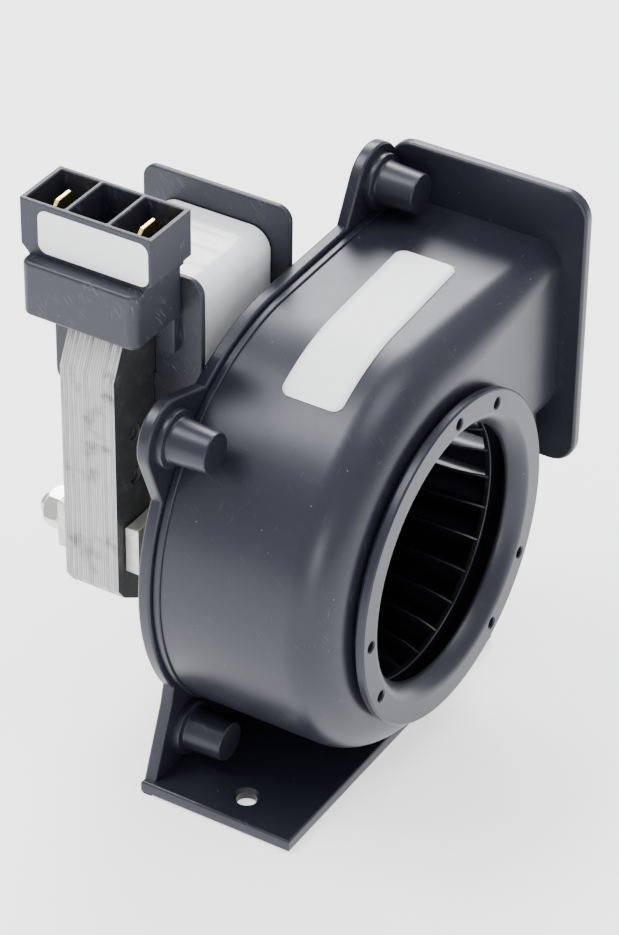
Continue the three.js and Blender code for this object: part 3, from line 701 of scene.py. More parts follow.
def shaped(body: bpy.types.Mesh, add: Iterable[bpy.types.Mesh] = (), cut: Iterable[bpy.types.Mesh] = (),
           keep: Iterable[bpy.types.Mesh] = ()) -> bpy.types.Mesh:
    """Joins, cuts and trims closed meshes.

    Args:
        body: What to start from.
        add: Meshes joined to it first.
        cut: Meshes then cut out of it.
        keep: Meshes that it is then trimmed to.

    Returns:
        The resulting mesh.
    """
    scene = bpy.context.scene.collection.objects
    host = bpy.data.objects.new("host", body)
    scene.link(host)
    tools = []
    for operation, meshes in (("UNION", add), ("DIFFERENCE", cut), ("INTERSECT", keep)):
        for mesh in meshes:
            tool = bpy.data.objects.new("tool", mesh)
            scene.link(tool)
            tools.append(tool)
            modifier = host.modifiers.new(operation, "BOOLEAN")
            modifier.operation = operation
            modifier.solver = "MANIFOLD"
            modifier.object = tool
    bpy.context.view_layer.update()
    evaluated = host.evaluated_get(bpy.context.evaluated_depsgraph_get())
    result = bpy.data.meshes.new_from_object(evaluated)
    for used in (host, *tools):
        spent = used.data
        bpy.data.objects.remove(used)
        bpy.data.meshes.remove(spent)
    return result


class Workshop:
    """Turns meshes into pieces of the blower: shades, dresses and places them, and logs each."""

    def __init__(self, palette: Palette) -> None:
        """Keeps the palette that every piece is dressed from."""
        self.palette = palette

    def piece(self, name: str, mesh: bpy.types.Mesh, body: Body, finish: Finish,
              stands_for: Sequence[str] = (), material: bpy.types.Material | None = None
              ) -> bpy.types.Object:
        """Makes one piece that rides on a body.

        Args:
            name: The piece's name.
            mesh: Its closed mesh.
            body: The body that it moves with.
            finish: The record's slot that it takes its finish from.
            stands_for: CAD nodes that it replaces.
            material: Its material if not the finish's own.

        Returns:
            The piece.
        """
        mesh.materials.clear()
        mesh.materials.append(material or self.palette.materials[finish])
        mesh.shade_smooth()
        mesh.set_sharp_from_angle(angle=SHARP_ANGLE)
        made = bpy.data.objects.new(name, mesh)
        bpy.context.scene.collection.objects.link(made)
        weights = made.modifiers.new("even_shading", "WEIGHTED_NORMAL")
        weights.keep_sharp = True
        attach(made, body.value)
        if stands_for:
            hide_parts(*stands_for)
        log.info("piece %s on %s, %d faces", name, body.value, len(mesh.polygons))
        return made

    def dress(self, node: str, finish: Finish) -> None:
        """Gives a CAD node that stays its finish."""
        for place in frame["nodes"][node].material_slots:
            place.material = self.palette.materials[finish]
        log.info("node %s keeps its shape", node)


def middle(node: str) -> Vector:
    """The middle of a node's box."""
    low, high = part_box(node)
    return (low + high) / 2


# ---------------------------------------------------------------------------- housing


@dataclass
class Housing:
    """The scroll shell with its outlet flange, the back plate with its foot, and the inlet ring."""

    wall: float = 2.0 * MM
    tongue_radius: float = 34.6 * MM
    growth: float = 2.2 * MM
    duct_floor: float = 5.9 * MM
    screw_hole: float = 1.6 * MM
    bolt_hole: float = 2.3 * MM
    overshoot: float = 2 * MM
    far: float = 120 * MM
    roof_slope: float = 0.7 * MM
    front_fillet: float = 7.5 * MM
    outlet_fillet: float = 4.2 * MM
    rim_margin: float = 0.35 * MM
    rim_thickness: float = 1.3 * MM
    plate_margin: float = 1.2 * MM
    flange_thickness: float = 2.1 * MM
    flange_corner: float = 4.5 * MM
    edge: float = 0.45 * MM
    lobe_radius: float = 6.4 * MM
    lobe_root_radius: float = 16 * MM
    boss_radius: float = 3.35 * MM
    boss_draft: float = 0.35 * MM
    boss_length: float = 6.8 * MM
    collar_radius: float = 4.8 * MM
    web_height: float = 18 * MM
    web_taper: float = 7 * MM
    foot_short: float = 6.1 * MM
    foot_thickness: float = 2.3 * MM
    foot_hole_radius: float = 1.7 * MM
    foot_hole_inset: float = 5.8 * MM
    foot_hole_depth: float = 14.2 * MM
    throat_radius: float = 21.6 * MM
    throat_land: float = 0.4 * MM
    mouth_radius: float = 24.3 * MM
    ring_proud: float = 2.6 * MM
    ring_neck: float = 26.6 * MM
    ring_lip: float = 1.5 * MM
    ring_hole_radius: float = 0.95 * MM
    ring_hole_circle: float = 25.6 * MM
    clearance: float = 0.3 * MM

    def __post_init__(self) -> None:
        """Reads the places that the frame gives."""
        ring_low, ring_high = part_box("inlet_ring")
        shell_low, shell_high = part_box("scroll_shell")
        plate_low, plate_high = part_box("back_plate")
        self.shaft_height = (ring_low.z + ring_high.z) / 2
        self.ring_front = ring_low.y
        self.ring_rear = ring_high.y
        self.ring_radius = (ring_high.x - ring_low.x) / 2
        self.flange_front = shell_low.y
        self.flange_rear = shell_high.y
        self.outlet_face = shell_high.x
        self.front = self.ring_front + self.ring_proud
        self.plate_rear = plate_high.y
        self.foot_front = plate_low.y
        self.foot_left = plate_low.x
        self.foot_right = self.tongue_radius - self.foot_short
        self.flange_inner = self.outlet_face - self.flange_thickness
        self.tongue_angle = math.asin(self.duct_floor / self.tongue_radius)
        self.roof = self.tongue_radius + self.growth + self.roof_slope
        screws = ("upper_left", "upper_right", "lower_left")
        self.bosses = {name: middle(f"housing_screw_{name}") for name in screws}

    def wall_radius(self, angle: float) -> float:
        """Radius of the scroll wall at an angle above +X, from the tongue clockwise to the top."""
        full = 1.5 * math.pi + self.tongue_angle
        share = (self.tongue_angle - angle) / full
        return self.tongue_radius + self.growth * share ** 3

    def roof_height(self, x: float) -> float:
        """Height of the duct's roof above the shaft."""
        top = self.tongue_radius + self.growth
        return top + self.roof_slope * x / self.outlet_face

    def scroll_outline(self, margin: float, reach: float, steps: int = 150) -> tuple[Outline, list[float]]:
        """Outline of the scroll and its duct in X and Z.

        Args:
            margin: How far it lies outside the wall; below zero it lies inside.
            reach: Where the duct ends along X.
            steps: Segments round the scroll.

        Returns:
            The outline, and the front rounding of the shell at each of its points.
        """
        points = []
        rounding = []
        full = 1.5 * math.pi + self.tongue_angle
        blend = math.radians(40)
        for k in range(steps + 1):
            angle = self.tongue_angle - full * k / steps
            radius = self.wall_radius(angle) + margin
            points.append((radius * math.cos(angle), self.shaft_height + radius * math.sin(angle)))
            near_tongue = max(0.0, 1.0 - (self.tongue_angle - angle) / blend)
            rounding.append(self.front_fillet + (self.outlet_fillet - self.front_fillet) * near_tongue)
        roof_steps = 14
        for k in range(1, roof_steps + 1):
            x = reach * k / roof_steps
            points.append((x, self.shaft_height + self.roof_height(x) + margin))
            share = min(1.0, x / self.flange_inner)
            rounding.append(self.front_fillet + (self.outlet_fillet - self.front_fillet) * share ** 1.3)
        points.append((reach, self.shaft_height + self.duct_floor - margin))
        rounding.append(self.outlet_fillet)
        return points, rounding

    def scroll_body(self, margin: float, reach: float, front: float, rear: float) -> bpy.types.Mesh:
        """A solid scroll whose front edge is rounded by a different radius along its way."""
        outline, rounding = self.scroll_outline(margin, reach)
        radii = [max(r + margin, 1.0 * MM) for r in rounding]
        rings = [[Axis.Y.place(u, v, rear) for u, v in outline]]
        steps = 10
        for k in range(steps + 1):
            angle = 0.5 * math.pi * k / steps
            ring = inset(outline, [r * (1 - math.cos(angle)) for r in radii])
            rings.append([Axis.Y.place(u, v, front + r * (1 - math.sin(angle)))
                          for (u, v), r in zip(ring, radii)])
        return loft(rings)

    def boss(self, place: Vector) -> bpy.types.Mesh:
        """A screw boss with its collar, a little narrower towards its end."""
        base = -self.rim_thickness
        end = base - self.boss_length
        edge = 0.35 * MM
        profile = [
            (0.0, end),
            (self.boss_radius - edge, end),
            (self.boss_radius - 0.3 * edge, end + 0.3 * edge),
            (self.boss_radius, end + edge),
            (self.boss_radius + self.boss_draft, base - 0.5 * MM),
            (self.boss_radius + self.boss_draft + 0.15 * MM, base - 0.15 * MM),
            (self.boss_radius + self.boss_draft + 0.5 * MM, base),
            (self.collar_radius - edge, base),
            (self.collar_radius - 0.3 * edge, base + 0.3 * edge),
            (self.collar_radius, base + edge),
            (self.collar_radius, 0.0),
            (0.0, 0.0),
        ]
        return turned(profile, Axis.Y, (place.x, place.z), 48)

    def shell(self) -> bpy.types.Mesh:
        """The scroll shell with its cavity, flange, rim and bosses."""
        into_flange = self.flange_inner + 0.6 * MM
        past = self.outlet_face + self.outlet_fillet + self.overshoot
        beyond = prism(rounded_box(into_flange, self.far, -self.far, self.far, 1 * MM), Axis.Y,
                       -self.far, self.far)
        outer = shaped(self.scroll_body(0.0, past, self.front, 0.0), cut=[beyond])
        rim_outline, _ = self.scroll_outline(self.rim_margin, into_flange)
        rim = prism(rim_outline, Axis.Y, -self.rim_thickness, 0.0, 0.25 * MM)
        _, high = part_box("scroll_shell")
        flange_outline = rounded_box(self.flange_front, self.flange_rear, self.flange_low(), high.z,
                                     self.flange_corner, 8)
        flange = prism(flange_outline, Axis.X, self.flange_inner, self.outlet_face, 0.55 * MM, 4)
        cavity_front = self.front + self.wall
        cavity = self.scroll_body(-self.wall, past, cavity_front, -self.clearance)
        rear_outline, _ = self.scroll_outline(-self.wall, self.flange_inner - 1 * MM)
        behind = prism(rear_outline, Axis.Y, -2 * self.clearance, 2 * MM)
        mouth = prism(circle(0.0, self.shaft_height, self.mouth_radius + 0.6 * MM, 96), Axis.Y,
                      self.front - 1 * MM, cavity_front + 3 * MM)
        plate_seat = prism(rounded_box(-60 * MM, self.flange_inner - 1 * MM, -20 * MM, 90 * MM, 1 * MM),
                           Axis.Y, 0.0, 8 * MM)
        over_foot = prism(rounded_box(-60 * MM, 60 * MM, -5 * MM, self.foot_thickness + self.clearance,
                                      1 * MM), Axis.Y, -30 * MM, 5 * MM)
        pilots = [prism(circle(place.x, place.z, self.screw_hole, 24), Axis.Y, -6 * MM, 1 * MM)
                  for place in self.bosses.values()]
        bosses = [self.boss(place) for place in self.bosses.values()]
        return shaped(outer, add=[rim, flange, *bosses],
                      cut=[cavity, behind, mouth, plate_seat, over_foot, *pilots])

    def flange_low(self) -> float:
        """Height of the flange's lower edge."""
        _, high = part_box("scroll_shell")
        border = high.z - self.shaft_height - self.roof
        return self.shaft_height + self.duct_floor - border

    def lobe_outline(self, name: str) -> Outline:
        """Outline of the plate around a boss: two arcs joined by their tangents.

        Args:
            name: The boss's name.

        Returns:
            The outline in X and Z.
        """
        place = self.bosses[name]
        boss = Vector((place.x, place.z))
        axis = Vector((0.0, self.shaft_height))
        inside = (boss - axis).normalized() * (self.tongue_radius - self.lobe_root_radius)
        root = axis + inside
        if place.z > self.shaft_height + self.roof:
            root = Vector((boss.x, self.shaft_height + self.roof - self.lobe_root_radius))
        away = boss - root
        outwards = math.atan2(away.y, away.x)
        spread = math.acos((self.lobe_root_radius - self.lobe_radius) / away.length)
        points = []
        for centre, radius, start, turn in ((boss, self.lobe_radius, outwards - spread, 2 * spread),
                                            (root, self.lobe_root_radius, outwards + spread,
                                             2 * (math.pi - spread))):
            for k in range(25):
                angle = start + turn * k / 24
                points.append((centre.x + radius * math.cos(angle), centre.y + radius * math.sin(angle)))
        return points

    def plate(self) -> bpy.types.Mesh:
        """The back plate with its lobes, web and foot."""
        outline, _ = self.scroll_outline(self.plate_margin, self.outlet_face + 2 * MM)
        body = prism(outline, Axis.Y, 0.0, self.plate_rear, self.edge)
        lobes = [prism(self.lobe_outline(name), Axis.Y, 0.0, self.plate_rear, self.edge)
                 for name in self.bosses]
        web = prism([(self.foot_left, 0.0), (self.foot_right, 0.0),
                     (self.foot_right - self.web_taper, self.web_height),
                     (self.foot_left + self.web_taper, self.web_height)],
                    Axis.Y, 0.0, self.plate_rear, self.edge)
        foot = prism([(self.foot_left, self.foot_front), (self.foot_right, self.foot_front),
                      (self.foot_right, self.plate_rear), (self.foot_left, self.plate_rear)],
                     Axis.Z, 0.0, self.foot_thickness, self.edge)
        flare = 0.5 * MM
        radius = self.foot_hole_radius
        drill = [(0.0, -1 * MM), (radius + flare, -1 * MM), (radius + flare, 0.0), (radius, flare),
                 (radius, self.foot_thickness - flare), (radius + flare, self.foot_thickness),
                 (radius + flare, self.foot_thickness + 1 * MM), (0.0, self.foot_thickness + 1 * MM)]
        hole_places = (self.foot_left + self.foot_hole_inset, self.foot_right - self.foot_hole_inset)
        foot_holes = [turned(drill, Axis.Z, (x, -self.foot_hole_depth), 48) for x in hole_places]
        through = (-1 * MM, self.plate_rear + 1 * MM)
        bores = [prism(circle(0.0, self.shaft_height, 3.3 * MM), Axis.Y, *through)]
        bores += [prism(circle(place.x, place.z, self.screw_hole, 32), Axis.Y, *through)
                  for place in self.bosses.values()]
        bolts = [middle(f"motor_bolt_{side}") for side in ("left", "right")]
        bores += [prism(circle(bolt.x, self.shaft_height, self.bolt_hole, 32), Axis.Y, *through)
                  for bolt in bolts]
        beyond = prism(rounded_box(self.flange_inner - self.clearance, 80 * MM, -20 * MM, 110 * MM, 1 * MM),
                       Axis.Y, *through)
        return shaped(body, add=[*lobes, web, foot], cut=[*bores, *foot_holes, beyond])

    def ring(self) -> bpy.types.Mesh:
        """The inlet ring: a flat lip that rolls into a bellmouth."""
        steps = 12
        profile = []
        depth = self.ring_rear - self.throat_land - self.ring_front
        for k in range(steps + 1):
            share = k / steps
            radius = self.mouth_radius + (self.throat_radius - self.mouth_radius) * share
            profile.append((radius, self.ring_front + depth * share ** 2))
        spigot = self.mouth_radius + self.clearance
        edge = 0.3 * MM
        lip_rear = self.ring_front + self.ring_lip
        profile += [
            (self.throat_radius, self.ring_rear),
            (spigot, self.ring_rear),
            (spigot, self.front - self.clearance),
            (self.ring_neck, self.front - self.clearance),
            (self.ring_neck, lip_rear),
            (self.ring_radius - 0.15 * MM, lip_rear),
            (self.ring_radius, lip_rear - 0.15 * MM),
            (self.ring_radius, self.ring_front + edge),
            (self.ring_radius - 0.12 * MM, self.ring_front + 0.12 * MM),
            (self.ring_radius - edge, self.ring_front),
        ]
        body = turned(profile, Axis.Y, (0.0, self.shaft_height), 144)
        holes = []
        for degrees in (76, 196, 316):
            for side in (-14, 14):
                angle = math.radians(degrees + side)
                place = (self.ring_hole_circle * math.cos(angle),
                         self.shaft_height + self.ring_hole_circle * math.sin(angle))
                radius = self.ring_hole_radius
                drill = [(0.0, self.ring_front - 1 * MM), (radius + 0.2 * MM, self.ring_front - 1 * MM),
                         (radius + 0.2 * MM, self.ring_front), (radius, self.ring_front + 0.2 * MM),
                         (radius, self.front + 1 * MM), (0.0, self.front + 1 * MM)]
                holes.append(turned(drill, Axis.Y, place, 32))
        return shaped(body, cut=holes)

    def label(self) -> bpy.types.Mesh:
        """A blank label that lies round the scroll's wall and on the duct's roof."""
        lift = 0.10 * MM
        low_angle = math.radians(116.5)
        roof_end = 22.6 * MM
        arc_steps = 20
        path = []
        for k in range(arc_steps + 1):
            angle = low_angle + (0.5 * math.pi - low_angle) * k / arc_steps
            radius = self.wall_radius(angle - 2 * math.pi) + lift
            path.append(Vector((radius * math.cos(angle), self.shaft_height + radius * math.sin(angle))))
        for k in range(1, 13):
            x = roof_end * k / 12
            path.append(Vector((x, self.shaft_height + self.roof_height(x) + lift)))
        lengths = [0.0]
        for before, after in zip(path, path[1:]):
            lengths.append(lengths[-1] + (after - before).length)
        total = lengths[-1]
        corner = 1.7 * MM
        half = 5.4 * MM
        stations = sorted({*lengths, *(corner * (1 - math.cos(0.25 * k)) for k in range(1, 7)),
                           *(total - corner * (1 - math.cos(0.25 * k)) for k in range(1, 7))})
        shape = bmesh.new()
        rows = []
        across = 8
        for station in stations:
            index = max(i for i, length in enumerate(lengths) if length <= station + WELD)
            index = min(index, len(path) - 2)
            share = (station - lengths[index]) / (lengths[index + 1] - lengths[index])
            spot = path[index].lerp(path[index + 1], share)
            near_end = min(station, total - station)
            shrink = corner - math.sqrt(max(0.0, corner ** 2 - max(0.0, corner - near_end) ** 2))
            centre = -16.2 * MM + 1.6 * MM * station / total
            width = half - shrink
            rows.append([shape.verts.new((spot.x, centre + width * (2 * k / across - 1), spot.y))
                         for k in range(across + 1)])
        for near, far in zip(rows, rows[1:]):
            for k in range(across):
                shape.faces.new((near[k], near[k + 1], far[k + 1], far[k]))
        return _closed(shape)

    def screw(self, place: Vector, seat: float) -> bpy.types.Mesh:
        """A pan-head screw with a cross recess, its head towards +Y."""
        head = 3.0 * MM
        tall = 1.6 * MM
        profile = [(0.0, -5 * MM), (0.9 * MM, -5 * MM), (1.3 * MM, -4 * MM), (1.3 * MM, seat),
                   (head, seat), (head, seat + 0.5 * MM), (0.93 * head, seat + 0.9 * MM),
                   (0.78 * head, seat + 1.25 * MM), (0.5 * head, seat + 1.5 * MM), (0.0, seat + tall)]
        arms = [rounded_box(place.x - a, place.x + a, place.z - b, place.z + b, 0.2 * MM, 2)
                for a, b in ((1.7 * MM, 0.4 * MM), (0.4 * MM, 1.7 * MM))]
        recess = [prism(arm, Axis.Y, seat + 0.7 * MM, seat + 4 * MM) for arm in arms]
        return shaped(turned(profile, Axis.Y, (place.x, place.z), 48), cut=recess)

    def build(self, shop: Workshop) -> None:
        """Makes every piece of the housing."""
        shop.piece("scroll_shell_moulding", self.shell(), Body.HOUSING, Finish.HOUSING, ["scroll_shell"])
        shop.piece("back_plate_moulding", self.plate(), Body.HOUSING, Finish.HOUSING, ["back_plate"])
        shop.piece("inlet_ring_moulding", self.ring(), Body.HOUSING, Finish.HOUSING, ["inlet_ring"])
        label = shop.piece("scroll_label", self.label(), Body.HOUSING, Finish.TAPE,
                           material=shop.palette.label)
        thick = label.modifiers.new("paper", "SOLIDIFY")
        thick.thickness = 0.09 * MM
        thick.offset = 0.0
        for name, place in self.bosses.items():
            node = f"housing_screw_{name}"
            seat = self.plate_rear + self.clearance
            shop.piece(f"{node}_turned", self.screw(place, seat), Body.HOUSING, Finish.STEEL, [node])


# --------------------------------------------------------------------------- impeller


@dataclass
class Impeller:
    """The drum impeller: a front ring, a back disc with its hub, and forward-curved blades."""

    blade_count: int = 25
    inner_radius: float = 20.6 * MM
    blade_thickness: float = 0.8 * MM
    blade_sweep: float = 1.9 * MM
    blade_overlap: float = 0.4 * MM
    blade_bend: float = 1.9 * MM
    blade_bend_length: float = 9 * MM
    rim_thickness: float = 1.2 * MM
    rim_width: float = 3.4 * MM
    disc_thickness: float = 1.5 * MM
    hub_radius: float = 5.2 * MM
    hub_length: float = 13 * MM
    bore: float = 2.3 * MM

    def __post_init__(self) -> None:
        """Reads the places that the frame gives."""
        low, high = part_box("impeller")
        self.front = low.y
        self.rear = high.y
        self.radius = (high.x - low.x) / 2
        self.shaft_height = (low.z + high.z) / 2

    def blade(self, turn: float) -> bpy.types.Mesh:
        """One blade at an angle about the shaft; its inner edge is round and bends out at the front."""
        cos, sin = math.cos(turn), math.sin(turn)
        front = self.front + self.blade_overlap
        rear = self.rear - self.blade_overlap
        levels = [rear, *(front + self.blade_bend_length * (1 - k / 8) for k in range(9))]
        rings = []
        for level in levels:
            near = max(0.0, 1 - (level - front) / self.blade_bend_length)
            inner = self.inner_radius + self.blade_bend * near ** 2
            rings.append([Vector((u * cos - v * sin, level, self.shaft_height + u * sin + v * cos))
                          for u, v in self.blade_section(inner)])
        return loft(rings)

    def blade_section(self, inner: float) -> Outline:
        """Section of a blade from its inner radius to the rim, seen along the shaft."""
        steps = 8
        tip = self.radius - self.blade_overlap
        left, right = [], []
        for k in range(steps + 1):
            share = k / steps
            radius = inner + (tip - inner) * share
            along = (radius - self.inner_radius) / (tip - self.inner_radius)
            lean = self.blade_sweep * along ** 1.8
            fullness = 0.62 + 0.38 * math.sin(0.5 * math.pi * min(1.0, 3 * share))
            half = 0.5 * self.blade_thickness * fullness
            left.append((radius, -lean - half))
            right.append((radius, -lean + half))
        lean = (left[0][1] + right[0][1]) / 2
        nose = [(inner - 0.15 * MM, lean + 0.12 * MM), (inner - 0.15 * MM, lean - 0.12 * MM)]
        return [*nose, *left, *reversed(right)]

    def wheel(self) -> bpy.types.Mesh:
        """The whole wheel as one moulding."""
        centre = (0.0, self.shaft_height)
        rim = turned(collar_profile(self.radius - self.rim_width, self.radius, self.front,
                                    self.front + self.rim_thickness, 0.3 * MM), Axis.Y, centre, 120)
        face = self.rear - self.disc_thickness
        nose = face - self.hub_length
        profile = [(0.0, nose), (self.hub_radius - 0.9 * MM, nose),
                   (self.hub_radius - 0.6 * MM, nose + 0.3 * MM),
                   (self.hub_radius, face - 1.2 * MM), (self.hub_radius + 0.35 * MM, face - 0.35 * MM),
                   (self.hub_radius + 1.2 * MM, face), (self.radius - 0.3 * MM, face),
                   (self.radius, face + 0.3 * MM), (self.radius, self.rear - 0.3 * MM),
                   (self.radius - 0.3 * MM, self.rear), (0.0, self.rear)]
        disc = turned(profile, Axis.Y, centre, 120)
        blades = [self.blade(2 * math.pi * k / self.blade_count) for k in range(self.blade_count)]
        bore = prism(circle(*centre, self.bore, 48), Axis.Y, self.front - 1 * MM, 1 * MM)
        return shaped(disc, add=[rim, *blades], cut=[bore])

    def build(self, shop: Workshop) -> None:
        """Makes the wheel, its clip and the shaft."""
        shop.piece("impeller_moulding", self.wheel(), Body.ROTOR, Finish.IMPELLER, ["impeller"])
        centre = (0.0, self.shaft_height)
        low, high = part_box("hub_clip")
        clip_profile = collar_profile(self.bore, (high.x - low.x) / 2, low.y, high.y, 0.15 * MM)
        clip = turned(clip_profile, Axis.Y, centre)
        shop.piece("hub_clip_pressed", clip, Body.ROTOR, Finish.STEEL, ["hub_clip"])
        low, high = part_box("motor_shaft")
        shaft = turned(collar_profile(0.0, (high.x - low.x) / 2, low.y, high.y, 0.4 * MM), Axis.Y, centre)
        shop.piece("motor_shaft_ground", shaft, Body.ROTOR, Finish.STEEL, ["motor_shaft"])


# ------------------------------------------------------------------------------ motor


@dataclass
class Motor:
    """The C-frame motor: laminated stack, coil on its bobbin, rotor, brackets and fasteners."""

    sheets: int = 23
    groove: float = 0.05 * MM
    limb: float = 11 * MM
    chamfer_width: float = 3 * MM
    chamfer_height: float = 6.3 * MM
    face_low: float = 7.4 * MM
    low_chamfer: Point = (1.6 * MM, 2.2 * MM)
    low_slope: float = 18 * MM
    window_floor: float = 17 * MM
    rotor_bore: float = 12.35 * MM
    pole_slot: float = 1.4 * MM
    hole_radius: float = 1.45 * MM
    hole_heights: tuple[float, float] = (12.1 * MM, 20.2 * MM)
    bolt_bore: float = 2.3 * MM
    strap_thickness: float = 2.4 * MM
    strap_bow: float = 3.0 * MM
    strap_foot: float = 7.6 * MM
    bearing_seat: float = 4.9 * MM

    def __post_init__(self) -> None:
        """Reads the places that the frame gives."""
        self.low, self.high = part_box("frame_stack")
        self.shaft_height = middle("motor_shaft").z
        self.sheet = (self.high.y - self.low.y) / self.sheets
        self.bolts = {side: middle(f"motor_nut_{side}") for side in ("left", "right")}

    def stack_outline(self) -> Outline:
        """Outline of one steel sheet."""
        left, right = self.low.x, self.high.x
        top, bottom = self.high.z, self.low.z
        face_low = self.shaft_height - self.face_low
        wide, tall = self.low_chamfer
        return [
            (left, face_low), (left + wide, face_low - tall), (left + self.low_slope, bottom),
            (right - self.low_slope, bottom), (right - wide, face_low - tall), (right, face_low),
            (right, top - self.chamfer_height), (right - self.chamfer_width, top),
            (left + self.chamfer_width, top), (left, top - self.chamfer_height),
        ]

    def sheets_of(self, outline: Outline, seed: int) -> bpy.types.Mesh:
        """A stack of sheets with a fine groove between each and the next.

        Args:
            outline: The outline of a sheet.
            seed: Seed for the small unevenness of the stack.

        Returns:
            The closed mesh.
        """
        rng = random.Random(seed)
        rings = []
        lip = 0.07 * MM
        for k in range(self.sheets):
            uneven = 0.03 * MM * rng.random()
            start = self.low.y + k * self.sheet
            for level, depth in ((start, self.groove), (start + lip, uneven),
                                 (start + self.sheet - lip, uneven), (start + self.sheet, self.groove)):
                if rings and level == start:
                    continue
                rings.append([Axis.Y.place(u, v, level) for u, v in inset(outline, depth)])
        return loft(rings)

    def stack(self) -> bpy.types.Mesh:
        """The frame stack with its window, bore and holes."""
        through = (self.low.y - 1 * MM, self.high.y + 1 * MM)
        left, right = self.low.x + self.limb, self.high.x - self.limb
        window = prism(rounded_box(left, right, self.shaft_height + self.window_floor,
                                   self.high.z + 1 * MM, 0.05 * MM, 1), Axis.Y, *through)
        bore = prism(circle(0.0, self.shaft_height, self.rotor_bore, 96), Axis.Y, *through)
        slot = prism(rounded_box(-self.pole_slot / 2, self.pole_slot / 2, self.shaft_height,
                                 self.shaft_height + self.window_floor + 1 * MM, 0.05 * MM, 1),
                     Axis.Y, *through)
        leg = self.low.x + self.limb / 2
        holes = [prism(circle(leg, self.shaft_height + height, self.hole_radius, 32), Axis.Y, *through)
                 for height in self.hole_heights]
        holes += [prism(circle(bolt.x, bolt.z, self.bolt_bore, 32), Axis.Y, *through)
                  for bolt in self.bolts.values()]
        holes += [self.bars(f"shading_ring_{side}", 0.15 * MM) for side in ("left", "right")]
        return shaped(self.sheets_of(self.stack_outline(), 5), cut=[window, bore, slot, *holes])

    def bars(self, node: str, clearance: float) -> bpy.types.Mesh:
        """A shading ring as a flat loop that passes twice through its pole.

        Args:
            node: The ring's CAD node.
            clearance: How far the loop is widened on every side.

        Returns:
            The closed mesh.
        """
        low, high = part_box(node)
        bar = high.z - low.z
        outer = prism(rounded_box(low.x - clearance, high.x + clearance, low.y - clearance,
                                  high.y + clearance, 0.4 * MM, 4), Axis.Z, low.z - clearance,
                      high.z + clearance, 0.0 if clearance else 0.25 * MM)
        band = bar + clearance
        inner = prism(rounded_box(low.x + band, high.x - band, low.y + band, high.y - band, 0.2 * MM, 3),
                      Axis.Z, low.z - 1 * MM, high.z + 1 * MM)
        return shaped(outer, cut=[inner])

    def strap(self, node: str, away: float) -> bpy.types.Mesh:
        """A cast bracket: a bowed strap with a bearing housing in its middle.

        Args:
            node: The bracket's CAD node.
            away: -1 in front of the stack, 1 behind it.

        Returns:
            The closed mesh.
        """
        low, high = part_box(node)
        seat = high.y if away < 0 else low.y
        top = seat + away * self.strap_thickness
        bow = away * self.strap_bow
        left, right = low.x, high.x
        near, far = left + self.strap_foot, right - self.strap_foot
        ramp = 3 * MM
        path = [(left, 0.0), (near, 0.0), (near + ramp, bow), (far - ramp, bow), (far, 0.0), (right, 0.0)]
        outline = [(x, seat + step) for x, step in path] + [(x, top + step) for x, step in reversed(path)]
        half = 4.4 * MM
        body = prism(outline, Axis.Z, self.shaft_height - half, self.shaft_height + half, 0.4 * MM)
        end = low.y if away < 0 else high.y
        start = seat + bow
        barrel = turned(collar_profile(0.0, 7 * MM, min(start, end), max(start, end), 0.5 * MM),
                        Axis.Y, (0.0, self.shaft_height), 72)
        bore = prism(circle(0.0, self.shaft_height, self.bearing_seat, 64), Axis.Y,
                     min(start, end) - 1 * MM, max(start, end) + 1 * MM)
        drills = [prism(circle(bolt.x, bolt.z, self.bolt_bore, 32), Axis.Y, low.y - 1 * MM, high.y + 1 * MM)
                  for bolt in self.bolts.values()]
        return shaped(body, add=[barrel], cut=[bore, *drills])

    def bolt(self, side: str) -> bpy.types.Mesh:
        """A through bolt with a flat round head and a threaded end."""
        low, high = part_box(f"motor_bolt_{side}")
        radius = 2 * MM
        head = (high.x - low.x) / 2
        neck = low.y + 2 * MM
        thread_start = high.y - 7 * MM
        pitch = 0.7 * MM
        depth = 0.22 * MM
        profile = [(0.0, low.y), (head - 0.9 * MM, low.y), (head - 0.5 * MM, low.y + 0.2 * MM),
                   (head, neck),
                   (radius, neck), (radius, thread_start)]
        for k in range(9):
            crest = thread_start + k * pitch
            profile += [(radius - depth, crest + 0.35 * pitch), (radius, crest + 0.8 * pitch)]
        profile += [(radius - 0.35 * MM, high.y), (0.0, high.y)]
        place = self.bolts[side]
        return turned(profile, Axis.Y, (place.x, place.z), 36)

    def nut(self, side: str) -> bpy.types.Mesh:
        """A hexagon nut with its corners turned off on both faces."""
        low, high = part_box(f"motor_nut_{side}")
        place = self.bolts[side]
        corners = (high.x - low.x) / 2
        flats = corners * math.cos(math.pi / 6)
        hexagon = prism(circle(place.x, place.z, corners, 6), Axis.Y, low.y, high.y)
        lead = 0.55 * MM
        barrel = turned([(0.0, low.y), (flats, low.y), (corners, low.y + lead), (corners, high.y - lead),
                         (flats, high.y), (0.0, high.y)], Axis.Y, (place.x, place.z), 96)
        bore = prism(circle(place.x, place.z, 2.1 * MM, 32), Axis.Y, low.y - 1 * MM, high.y + 1 * MM)
        return shaped(hexagon, cut=[bore], keep=[barrel])

    def turned_ring(self, shop: Workshop, node: str, inner: float, edge: float, body: Body,
                    finish: Finish) -> None:
        """Makes a ring on the shaft's axis with the outer size of its node."""
        low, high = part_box(node)
        profile = collar_profile(inner, (high.x - low.x) / 2, low.y, high.y, edge)
        place = ((low.x + high.x) / 2, (low.z + high.z) / 2)
        shop.piece(f"{node}_turned", turned(profile, Axis.Y, place), body, finish, [node])

